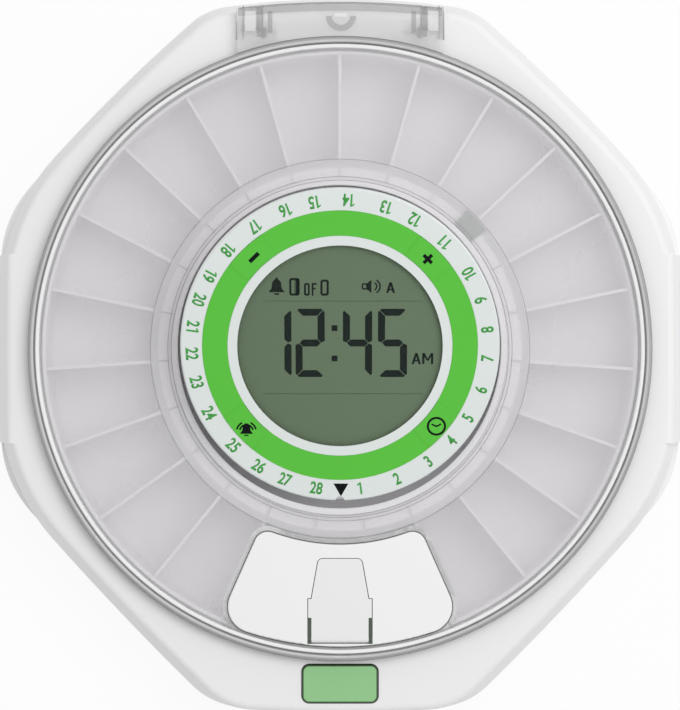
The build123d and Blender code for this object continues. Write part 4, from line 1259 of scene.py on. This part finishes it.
@dataclass
class KeySymbols:
    """Black symbols printed on the four keys."""

    plane: DialPlane
    paints: Paintbox
    face: float = 0.24
    thickness: float = PRINT_THICKNESS
    places: tuple[tuple[str, str, float, float], ...] = (
        ("minus_symbol", "minus_key", -27.1, 28.9),
        ("plus_symbol", "plus_key", 27.7, 28.4),
        ("clock_symbol", "clock_key", 30.9, -26.0),
        ("alarm_symbol", "alarm_key", -30.0, -26.9),
    )

    def build(self) -> None:
        """Print all four symbols."""
        for (name, body, x, y), draw in zip(self.places, (self._minus, self._plus, self._clock, self._bell)):
            mark = settle(draw(), self.plane.matrix(self.face) @ spot(x, y))
            mark.name = name
            self.paints.dress(mark, "black_print_and_shade")
            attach(mark, body)
            LOG.info("piece %s", name)

    def _minus(self) -> bpy.types.Object:
        """A short bar along the ring."""
        return settle(bar(4.0, 1.3, self.thickness), spot(0, 0, 45))

    def _plus(self) -> bpy.types.Object:
        """Two crossed bars, the second in two halves.

        Returns:
            The symbol.
        """
        long_bar = settle(bar(3.7, 1.1, self.thickness), spot(0, 0, 45))
        arms = repeat(bar(1.3, 1.1, self.thickness), [spot(0, 0, -45) @ spot(side * 1.2, 0) for side in (-1, 1)])
        return join("plus", [long_bar, *arms])

    def _clock(self) -> bpy.types.Object:
        """A ring with two hands.

        Returns:
            The symbol.
        """
        inner, outer = 2.4, 3.1
        rim = turned("rim", ((inner, 0), (outer, 0), (outer, self.thickness), (inner, self.thickness)), 48)
        left = settle(bar(1.9, 0.5, self.thickness, 0.2), spot(-0.72, 0.3, -25))
        right = settle(bar(1.8, 0.5, self.thickness, 0.2), spot(0.7, 0.32, 27))
        return join("clock", [rim, left, right])

    def _bell(self) -> bpy.types.Object:
        """A ringing bell with sound waves on both sides.

        Returns:
            The symbol.
        """
        pieces = [bell_shape(1.0, self.thickness)]
        for radius in (2.15, 3.1):
            for side in (-1, 1):
                span = (90 + side * 26, 90 + side * 78)
                pieces.append(arc(radius, 0.55, span, self.thickness, (0, -0.75)))
        return join("bell", pieces)


@dataclass
class SevenSegment:
    """One seven-segment digit with mitred strokes."""

    width: float = 9.3
    height: float = 22.25
    stroke: float = 2.25
    gap: float = 0.16
    chamfer: float = 0.9
    tip: float = 0.5
    thickness: float = 0.03

    def segments(self) -> dict[str, list[Point2]]:
        """Corners of each stroke, from the digit's lower left corner.

        Returns:
            The corners by the stroke's letter; lower and left strokes mirror the upper and right ones.
        """
        w, h, s, g, c = self.width, self.height, self.stroke, self.gap, self.chamfer
        middle, half = h / 2, s / 2
        top = [(g + c, h), (w - g - c, h), (w - g - c / 2, h - c / 2), (w - s - g, h - s), (s + g, h - s),
               (g + c / 2, h - c / 2)]
        right = [(w, h - g - c), (w, middle + g + self.tip), (w - half, middle + g),
                 (w - s, middle + half + g), (w - s, h - s - g), (w - c / 2, h - g - c / 2)]
        across = [(g + half, middle), (s + g, middle + half), (w - s - g, middle + half),
                  (w - g - half, middle), (w - s - g, middle - half), (s + g, middle - half)]
        left = [(w - x, y) for x, y in right]
        low = [[(x, h - y) for x, y in stroke] for stroke in (top, right, left)]
        return {"a": top, "b": right, "f": left, "g": across, "d": low[0], "c": low[1], "e": low[2]}

    def build(self, lit: str) -> bpy.types.Object:
        """Make the lit strokes as one flat piece.

        Args:
            lit: letters of the lit strokes.

        Returns:
            The digit.
        """
        parts = self.segments()
        return join("digit", [polygon(parts[letter], self.thickness) for letter in lit])


@dataclass
class DisplayMarks:
    """Everything the display shows: the time, small symbols and two thin lines."""

    plane: DialPlane
    paints: Paintbox
    face: float = -1.69
    thickness: float = 0.03
    digits: tuple[tuple[float, str], ...] = ((-24.77, "bc"), (-14.18, "abged"), (0.93, "fgbc"), (12.1, "afgcd"))
    digits_low: float = -10.24
    colon_side: float = 1.85
    colon: tuple[Point2, ...] = ((-1.75, 5.75), (-1.75, -4.15))
    lines: tuple[Point2, ...] = ((1.2, 14.5), (1.2, -15.75))
    line_length: float = 50.8
    line_width: float = 0.2
    letter_stroke: float = 0.74

    def build(self) -> None:
        """Make the dark segments and the faint lines."""
        dark = self._time() + self._symbols()
        self._show("lcd_segments", dark, "lcd_segment")
        line = bar(self.line_length, self.line_width, self.thickness)
        self._show("lcd_lines", repeat(line, [spot(*place) for place in self.lines]), "lcd_faint")

    def _show(self, name: str, parts: list[bpy.types.Object], finish: str) -> None:
        """Join parts, put them on the panel and dress them.

        Args:
            name: the name of the piece.
            parts: its parts, flat at the origin.
            finish: the name of its finish.
        """
        piece = join(name, parts)
        settle(piece, self.plane.matrix(self.face))
        self.paints.dress(piece, finish)
        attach(piece, "housing")
        LOG.info("piece %s", name)

    def _time(self) -> list[bpy.types.Object]:
        """Large digits, colon and AM.

        Returns:
            The parts.
        """
        digit = SevenSegment()
        parts = [settle(digit.build(lit), spot(left, self.digits_low)) for left, lit in self.digits]
        colon = bar(self.colon_side, self.colon_side, self.thickness)
        parts += repeat(colon, [spot(*place) for place in self.colon])
        parts += self._letter_a(24.35, -4.2, 3.0, 3.6)
        parts += self._letter_m(28.0, -4.2, 3.5, 3.6)
        return parts

    def _symbols(self) -> list[bpy.types.Object]:
        """Top row: bell, dose counter, loudspeaker and letter.

        Returns:
            The parts.
        """
        parts = [settle(bell_shape(1.2, self.thickness), spot(-20.1, 19.3))]
        parts.append(settle(bar(0.9, 0.9, self.thickness, 0.3), spot(-20.1, 21.6)))
        parts += self._frame(-14.45, 19.1, 3.3, 5.65, 0.68)
        parts.append(settle(bar(1.15, 4.9, self.thickness), spot(-13.5, 19.1)))
        parts.append(settle(bar(0.16, 4.5, self.thickness), spot(-14.3, 19.1)))
        parts += self._frame(-10.5, 18.3, 1.8, 4.1, 0.58)
        parts += self._letter_f(-8.2, 18.3)
        parts += self._frame(-4.9, 18.85, 2.65, 5.2, 0.68)
        parts += self._speaker(9.8, 19.25)
        parts += self._letter_a(16.05, 18.85, 2.9, 3.4)
        return parts

    def _letter_a(self, x: float, y: float, width: float, height: float) -> list[bpy.types.Object]:
        """Bold A made of two legs and a bar.

        Args:
            x: its middle in millimetres.
            y: its middle in millimetres.
            width: millimetres.
            height: millimetres.

        Returns:
            The parts.
        """
        w, h, stroke = width / 2, height / 2, self.letter_stroke
        legs = [polygon(((foot, -h), (foot + stroke, -h), (stroke / 2, h), (-stroke / 2, h)), self.thickness)
                for foot in (-w, w - stroke)]
        across = settle(bar(width * 0.55, 0.5, self.thickness), spot(0, -h * 0.38))
        return [settle(part, spot(x, y)) for part in (*legs, across)]

    def _letter_m(self, x: float, y: float, width: float, height: float) -> list[bpy.types.Object]:
        """Bold M made of two stems and a V.

        Args:
            x: its middle in millimetres.
            y: its middle in millimetres.
            width: millimetres.
            height: millimetres.

        Returns:
            The parts.
        """
        w, h, stroke = width / 2, height / 2, 0.72
        low, tip = -h * 0.35, 0.25
        parts = repeat(bar(stroke, height, self.thickness), [spot(side * (w - stroke / 2), 0) for side in (-1, 1)])
        for side in (-1, 1):
            leg = ((side * w, h), (side * (w - stroke * 1.1), h), (-side * tip, low), (side * tip, low - 0.1))
            parts.append(polygon(leg, self.thickness))
        return [settle(part, spot(x, y)) for part in parts]

    def _frame(self, x: float, y: float, width: float, height: float, stroke: float) -> list[bpy.types.Object]:
        """Upright rounded rectangle drawn with one stroke.

        Args:
            x: its middle in millimetres.
            y: its middle in millimetres.
            width: millimetres.
            height: millimetres.
            stroke: width of the stroke in millimetres.

        Returns:
            The parts.
        """
        inset, ends = stroke * 0.7, (-1, 1)
        side_x, side_y = (width - stroke) / 2, (height - stroke) / 2
        upright = bar(stroke, height - 2 * inset, self.thickness)
        parts = repeat(upright, [spot(x + end * side_x, y) for end in ends])
        level = bar(width - 2 * inset, stroke, self.thickness)
        parts += repeat(level, [spot(x, y + end * side_y) for end in ends])
        corner_x, corner_y = width / 2 - stroke * 0.72, height / 2 - stroke * 0.72
        corners = [spot(x + right * corner_x, y + up * corner_y, 45) for right in ends for up in ends]
        return parts + repeat(bar(stroke * 0.9, stroke * 0.9, self.thickness), corners)

    def _letter_f(self, x: float, y: float) -> list[bpy.types.Object]:
        """Small F made of three strokes.

        Args:
            x: its middle in millimetres.
            y: its middle in millimetres.

        Returns:
            The parts.
        """
        stem = settle(bar(0.55, 4.0, self.thickness), spot(x - 0.5, y - 0.05))
        top = settle(bar(1.55, 0.55, self.thickness), spot(x + 0.05, y + 1.75))
        middle = settle(bar(1.25, 0.5, self.thickness), spot(x - 0.1, y + 0.25))
        return [stem, top, middle]

    def _speaker(self, x: float, y: float) -> list[bpy.types.Object]:
        """Loudspeaker with two waves.

        Args:
            x: its middle in millimetres.
            y: its middle in millimetres.

        Returns:
            The parts.
        """
        cone = polygon(((-0.75, -1.0), (0.6, -2.15), (0.6, 2.15), (-0.75, 1.0)), self.thickness)
        waves = [arc(radius, 0.5, (-58, 58), self.thickness, (0.35, 0)) for radius in (1.35, 2.4)]
        parts = [settle(cone, spot(x - 0.45, y))] + [settle(wave, spot(x + 0.15, y)) for wave in waves]
        return self._frame(x - 1.95, y, 1.9, 2.1, 0.48) + parts


@dataclass
class DisplayPane:
    """Clear pane over the display, with a small bevel round its top and a dark ring of painted shade at its edge.
    """

    plane: DialPlane
    paints: Paintbox
    radius: float = 33.85
    low: float = -1.62
    top: float = -0.5
    bevel: float = 0.2
    bezel: tuple[Point2, ...] = ((32.6, -0.48), (32.95, -0.48), (32.95, -0.4), (32.6, -0.4))

    def build(self) -> None:
        """Make the pane, which stands for the node, and the dark ring of painted shade round it."""
        edge = self.radius - self.bevel
        profile = ((0, self.low), (self.radius, self.low), (self.radius, self.top - self.bevel),
                   (edge, self.top), (0, self.top))
        pane = turned("display_pane", profile, 120)
        settle(pane, self.plane.matrix())
        self.paints.dress(pane, "window_clear")
        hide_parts("display_window")
        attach(pane, "housing")
        LOG.info("piece display_pane")
        # dark ring of painted shade at the edge of the window
        bezel = turned("display_bezel", self.bezel, 180)
        settle(bezel, self.plane.matrix())
        self.paints.dress(bezel, "black_print_and_shade")
        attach(bezel, "housing")
        LOG.info("piece display_bezel")


@dataclass
class KeyWebs:
    """Thin soft webs that close the slits between the keys and the green ring."""

    plane: DialPlane
    paints: Paintbox
    angles: tuple[float, ...] = (133.7, 45.5, -39.5, -139.0)
    half_angle: float = 9.0
    inner_r: float = 35.86
    outer_r: float = 43.84
    width: float = 0.5
    overlap: float = 0.11
    low: float = 0.02
    top: float = 0.235

    def build(self) -> None:
        """Make one web along each side of each key."""
        middle = (self.inner_r + self.outer_r) / 2
        places = []
        for angle in self.angles:
            for side in (-1, 1):
                shift = side * (self.width / 2 - self.overlap)
                places.append(spot(0, 0, angle + side * self.half_angle) @ spot(middle, shift))
        web = bar(self.outer_r - self.inner_r, self.width, self.top - self.low)
        piece = join("key_webs", repeat(web, places))
        settle(piece, self.plane.matrix(self.low))
        self.paints.dress(piece, "ring_plastic")
        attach(piece, "housing")
        LOG.info("piece key_webs")


# ---- clear lid ----
@dataclass
class PanelSeam:
    """Dark line of painted shade in the gap where the white panel meets the clear plate."""

    paints: Paintbox
    half_angle: float = 24.0
    inner_r: float = 63.3
    outer_r: float = 96.4
    outer_corner_r: float = 8.5
    inner_corner_r: float = 4.5
    gap: float = 0.02
    width: float = 0.28
    low: float = 31.2
    height: float = 1.22
    steps: int = 10

    def build(self) -> None:
        """Make the seam as a closed band."""
        seam = upright_band("panel_seam", self._outline(), self.width, self.low, self.height)
        self.paints.dress(seam, "seam_shade_grey")
        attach(seam, "lid")
        LOG.info("piece panel_seam")

    def _outline(self) -> list[Point2]:
        """Outline of a sector with rounded corners, a gap outside the panel's edge.

        Returns:
            The corners in order, counterclockwise from the right outer one.
        """
        half = math.radians(self.half_angle)
        ahead = -math.pi / 2
        inner = half - math.asin(self.inner_corner_r / (self.inner_r + self.inner_corner_r))
        outer = half - math.asin(self.outer_corner_r / (self.outer_r - self.outer_corner_r))
        origin, spread = (0.0, 0.0), 2 * self.steps
        rim = self._corner(outer, self.outer_r - self.outer_corner_r, self.outer_corner_r, ahead + outer, half)
        rim += self._corner(inner, self.inner_r + self.inner_corner_r, self.inner_corner_r, half, inner - ahead)
        rim += arc_points(origin, self.inner_r - self.gap, ahead + inner, ahead - inner, spread)[1:-1]
        rim += self._corner(-inner, self.inner_r + self.inner_corner_r, self.inner_corner_r,
                            -ahead - inner, math.pi - half)
        rim += self._corner(-outer, self.outer_r - self.outer_corner_r, self.outer_corner_r,
                            math.pi - half, -3 * ahead - outer)
        return rim + arc_points(origin, self.outer_r + self.gap, ahead - outer, ahead + outer, spread)[1:-1]

    def _corner(self, bearing: float, reach: float, corner_r: float, start: float, end: float) -> list[Point2]:
        """One rounded corner of the outline.

        Args:
            bearing: angle of its centre from straight ahead, in radians.
            reach: distance of its centre from the lid's axis.
            corner_r: its radius on the panel.
            start: first angle in radians.
            end: last angle in radians.

        Returns:
            Its points.
        """
        center = (reach * math.sin(bearing), -reach * math.cos(bearing))
        return arc_points(center, corner_r + self.gap, start, end, self.steps)


@dataclass
class FlapSlotStrips:
    """Dark strips in the slots beside the flap: painted shade where one looks down into the slots."""

    paints: Paintbox
    side_x: float = 9.9
    width: float = 1.0
    side_y: float = -91.2
    length: float = 8.2
    level: float = 32.5
    thickness: float = 0.14

    def build(self) -> None:
        """Make both side strips as one piece."""
        strip = bar(self.width, self.length, self.thickness)
        places = [lift(self.level) @ spot(side * self.side_x, self.side_y) for side in (-1, 1)]
        piece = join("flap_slot_strips", repeat(strip, places))
        self.paints.dress(piece, "slot_shade_grey")
        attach(piece, "lid")
        LOG.info("piece flap_slot_strips")


@dataclass
class HingeLeafRelief:
    """Painted shade, painted highlights and dark lines of painted shade for the lip, ribs, central boss and hinge
    pins that show through the lid's rear leaf.
    """

    paints: Paintbox
    top: float = 32.98
    rise: float = 0.12
    left_x: float = -32.9
    right_x: float = 33.0
    rear_y: float = 112.2
    crown: float = 1.9
    steps: int = 16
    raised: float = 0.13
    boss_center: Point2 = (0.3, 107.6)
    shade_ribs: tuple[tuple[float, ...], ...] = (
        (-26.0, 105.6, 1.9, 9.6), (27.2, 105.6, 1.9, 9.6), (-22.6, 105.6, 1.5, 7.0), (23.8, 105.6, 1.5, 7.0),
    )
    line_ribs: tuple[tuple[float, ...], ...] = (
        (-24.95, 105.6, 0.28, 10.6), (26.15, 105.6, 0.28, 10.6), (-31.3, 105.6, 0.28, 10.6),
        (32.0, 105.6, 0.28, 10.6), (-24.3, 102.3, 0.9, 3.2), (25.5, 102.3, 0.9, 3.2),
    )
    light_ribs: tuple[tuple[float, ...], ...] = ((-29.0, 106.0, 3.4, 6.4), (30.2, 106.0, 3.4, 6.4))

    def build(self) -> None:
        """Make the painted shade, the dark lines of painted shade and the painted highlights."""
        shade = [self._strip(0.1, 2.9), arc(3.9, 2.0, (180, 360), self.rise, self.boss_center)]
        self._finish("hinge_leaf_shade", shade + self._ribs(self.shade_ribs), "leaf_painted_shade", 0.0)
        lines = self._ribs(self.line_ribs) + [self._strip(0.05, 0.4)]
        self._finish("hinge_leaf_shadow_lines", lines, "leaf_shadow_line", self.raised)
        light = [settle(bar(4.2, 1.1, self.rise, 0.5), spot(0.3, 107.9))]
        self._finish("hinge_leaf_lights", light + self._ribs(self.light_ribs), "leaf_painted_highlight", self.raised)

    def _finish(self, name: str, parts: list[bpy.types.Object], finish: str, step: float) -> None:
        """Join parts, lay them on the leaf and dress them.

        Args:
            name: the name of the piece.
            parts: its parts, flat at the origin.
            finish: the name of its finish.
            step: how far above the leaf's top it lies, in millimetres.
        """
        piece = settle(join(name, parts), lift(self.top + step))
        self.paints.dress(piece, finish)
        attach(piece, "lid")
        LOG.info("piece %s", name)

    def _rear(self, x: float, inset: float) -> float:
        """Y of the leaf's crowned rear edge at x, less an inset."""
        return self.rear_y - inset - self.crown * (x / self.right_x) ** 2

    def _strip(self, first: float, last: float) -> bpy.types.Object:
        """Band that follows the rear edge between two insets.

        Args:
            first: inset of its rear side in millimetres.
            last: inset of its front side in millimetres.

        Returns:
            The band.
        """
        span = self.right_x - self.left_x
        places = [self.left_x + span * index / self.steps for index in range(self.steps + 1)]
        rim = [(x, self._rear(x, first)) for x in places]
        rim += [(x, self._rear(x, last)) for x in reversed(places)]
        return polygon(rim, self.rise)

    def _ribs(self, table: Sequence[Sequence[float]]) -> list[bpy.types.Object]:
        """Flat painted bars by the x, y, width and length of each.

        Args:
            table: those numbers for each bar, in millimetres.

        Returns:
            The bars.
        """
        return [settle(bar(width, length, self.rise), spot(x, y)) for x, y, width, length in table]


@dataclass
class LidBead:
    """Raised bead round the edge of the lid's plate, white as a painted highlight, and a frosted lip and fine
    raised circles at its hole, grey as painted shade lines.
    """

    paints: Paintbox
    bead: tuple[Point2, ...] = (
        (97.35, 32.35), (98.6, 32.35), (98.6, 32.9), (98.35, 33.15), (97.85, 33.15), (97.45, 32.9),
    )
    lip: tuple[Point2, ...] = ((52.3, 31.3), (54.3, 31.3), (54.3, 32.36), (52.6, 32.36), (52.3, 32.1))
    lip_shift: Point2 = (-0.2, 0.65)
    circles: tuple[float, ...] = (54.6, 55.7, 61.4)
    circle_width: float = 0.22
    circle_rise: float = 0.1
    plate_top: float = 32.38

    def build(self) -> None:
        """Make the bead, the lip and the circles."""
        # painted highlight: the bead is white where the clear rim catches the light
        bead = turned("lid_edge_bead", self.bead, 360)
        self.paints.dress(bead, "rim_painted_highlight")
        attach(bead, "lid")
        LOG.info("piece lid_edge_bead")
        lip = turned("lid_hole_lip", self.lip)
        settle(lip, spot(*self.lip_shift))
        self.paints.dress(lip, "lip_frost")
        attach(lip, "lid")
        LOG.info("piece lid_hole_lip")
        # painted shade: the circles are grey lines
        half = self.circle_width / 2
        low, high = self.plate_top, self.plate_top + self.circle_rise
        rings = [turned("circle", ((radius - half, low), (radius + half, low), (radius, high)))
                 for radius in self.circles]
        circles = join("lid_hole_circles", rings)
        self.paints.dress(circles, "lid_shade_line")
        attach(circles, "lid")
        LOG.info("piece lid_hole_circles")


# ---- studio ----
@dataclass
class Studio:
    """Camera straight above, pale floor, soft light mostly from above and the right."""

    camera_height: float = 800.0
    camera_y: float = -2.0
    lens: float = 120.3
    sensor: float = 36.0
    near_clip: float = 0.01
    sky: float = 0.62
    lamps: tuple[tuple[str, tuple[float, float, float], float, float], ...] = (
        ("key_light", (0.55, 0.25, 0.95), 0.7, 3.9), ("top_light", (0.1, 0.6, 1.2), 0.8, 2.34),
    )
    floor_size: float = 6.0
    floor_white: float = 0.9
    paper: tuple[Colour, Colour] = ((0.88, 0.88, 0.88), (0.9, 0.9, 0.9))

    def build(self) -> None:
        """Set up the camera, the lights, the world and the floor."""
        self._camera()
        self._world()
        self._floor()
        for lamp in self.lamps:
            self._lamp(*lamp)

    def _camera(self) -> None:
        """Camera looking straight down."""
        clear_selection()
        place = (0, self.camera_y * MM, self.camera_height * MM)
        bpy.ops.object.camera_add(location=place, rotation=(0, 0, 0))
        camera = bpy.context.object
        camera.data.lens = self.lens
        camera.data.sensor_width = self.sensor
        camera.data.clip_start = self.near_clip
        bpy.context.scene.camera = camera

    def _lamp(self, name: str, place: tuple[float, float, float], size: float, watts: float) -> None:
        """Square area lamp aimed at the origin.

        Args:
            name: its name.
            place: where it hangs, in metres.
            size: its side in metres.
            watts: its power.
        """
        clear_selection()
        aim = (-Vector(place)).to_track_quat("-Z", "Y").to_euler()
        bpy.ops.object.light_add(type="AREA", location=place, rotation=aim)
        lamp = bpy.context.object
        lamp.name = name
        lamp.data.shape = "SQUARE"
        lamp.data.size = size
        lamp.data.energy = watts

    def _world(self) -> None:
        """Even white surroundings, pure white to the camera."""
        world = bpy.data.worlds.new("studio_world")
        world.use_nodes = True
        bpy.context.scene.world = world
        tree = world.node_tree
        tree.nodes.clear()
        output = tree.nodes.new("ShaderNodeOutputWorld")
        rays = tree.nodes.new("ShaderNodeLightPath")
        mix = tree.nodes.new("ShaderNodeMixShader")
        for entry, strength in ((1, self.sky), (2, 1.0)):
            white = tree.nodes.new("ShaderNodeBackground")
            white.inputs[0].default_value = (1, 1, 1, 1)
            white.inputs[1].default_value = strength
            tree.links.new(white.outputs[0], mix.inputs[entry])
        tree.links.new(rays.outputs["Is Camera Ray"], mix.inputs[0])
        tree.links.new(mix.outputs[0], output.inputs[0])

    def _floor(self) -> None:
        """Broad pale floor that keeps a faint shadow."""
        clear_selection()
        bpy.ops.mesh.primitive_plane_add(size=self.floor_size)
        floor = bpy.context.object
        floor.name = "studio_floor"
        sheet = Sheet("floor_paper")
        rays = sheet.add("ShaderNodeLightPath")
        base = sheet.mix(sheet.noise(0.5, 2), *self.paper)
        plain = sheet.add("ShaderNodeBsdfPrincipled", None, {"Base Color": base, "Roughness": 0.9})
        glow = sheet.add("ShaderNodeEmission", None, {"Color": (1, 1, 1), "Strength": 1.0})
        camera, glossy, clear = (Signal(sheet, rays.outputs["Is %s Ray" % kind])
                                 for kind in ("Camera", "Glossy", "Transmission"))
        seen = (camera + (glossy + clear)).clamped() * self.floor_white
        mix = sheet.add("ShaderNodeMixShader", None, {0: seen, 1: plain.outputs[0], 2: glow.outputs[0]})
        sheet.tree.links.new(mix.outputs[0], sheet.output.inputs[0])
        floor.data.materials.append(sheet.material)


def main() -> None:
    """Build the whole scene around the frame."""
    logging.basicConfig(level=logging.INFO)
    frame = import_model()
    bpy.context.scene.view_settings.view_transform = "Standard"
    paints = Paintbox()
    CarriedNodes().dress(frame, paints)
    plane = DialPlane()
    NumberRing(plane, paints).build()
    KeySymbols(plane, paints).build()
    DisplayMarks(plane, paints).build()
    DisplayPane(plane, paints).build()
    KeyWebs(plane, paints).build()
    LidBead(paints).build()
    PanelSeam(paints).build()
    FlapSlotStrips(paints).build()
    HingeLeafRelief(paints).build()
    Studio().build()


if __name__ == "__main__":
    main()
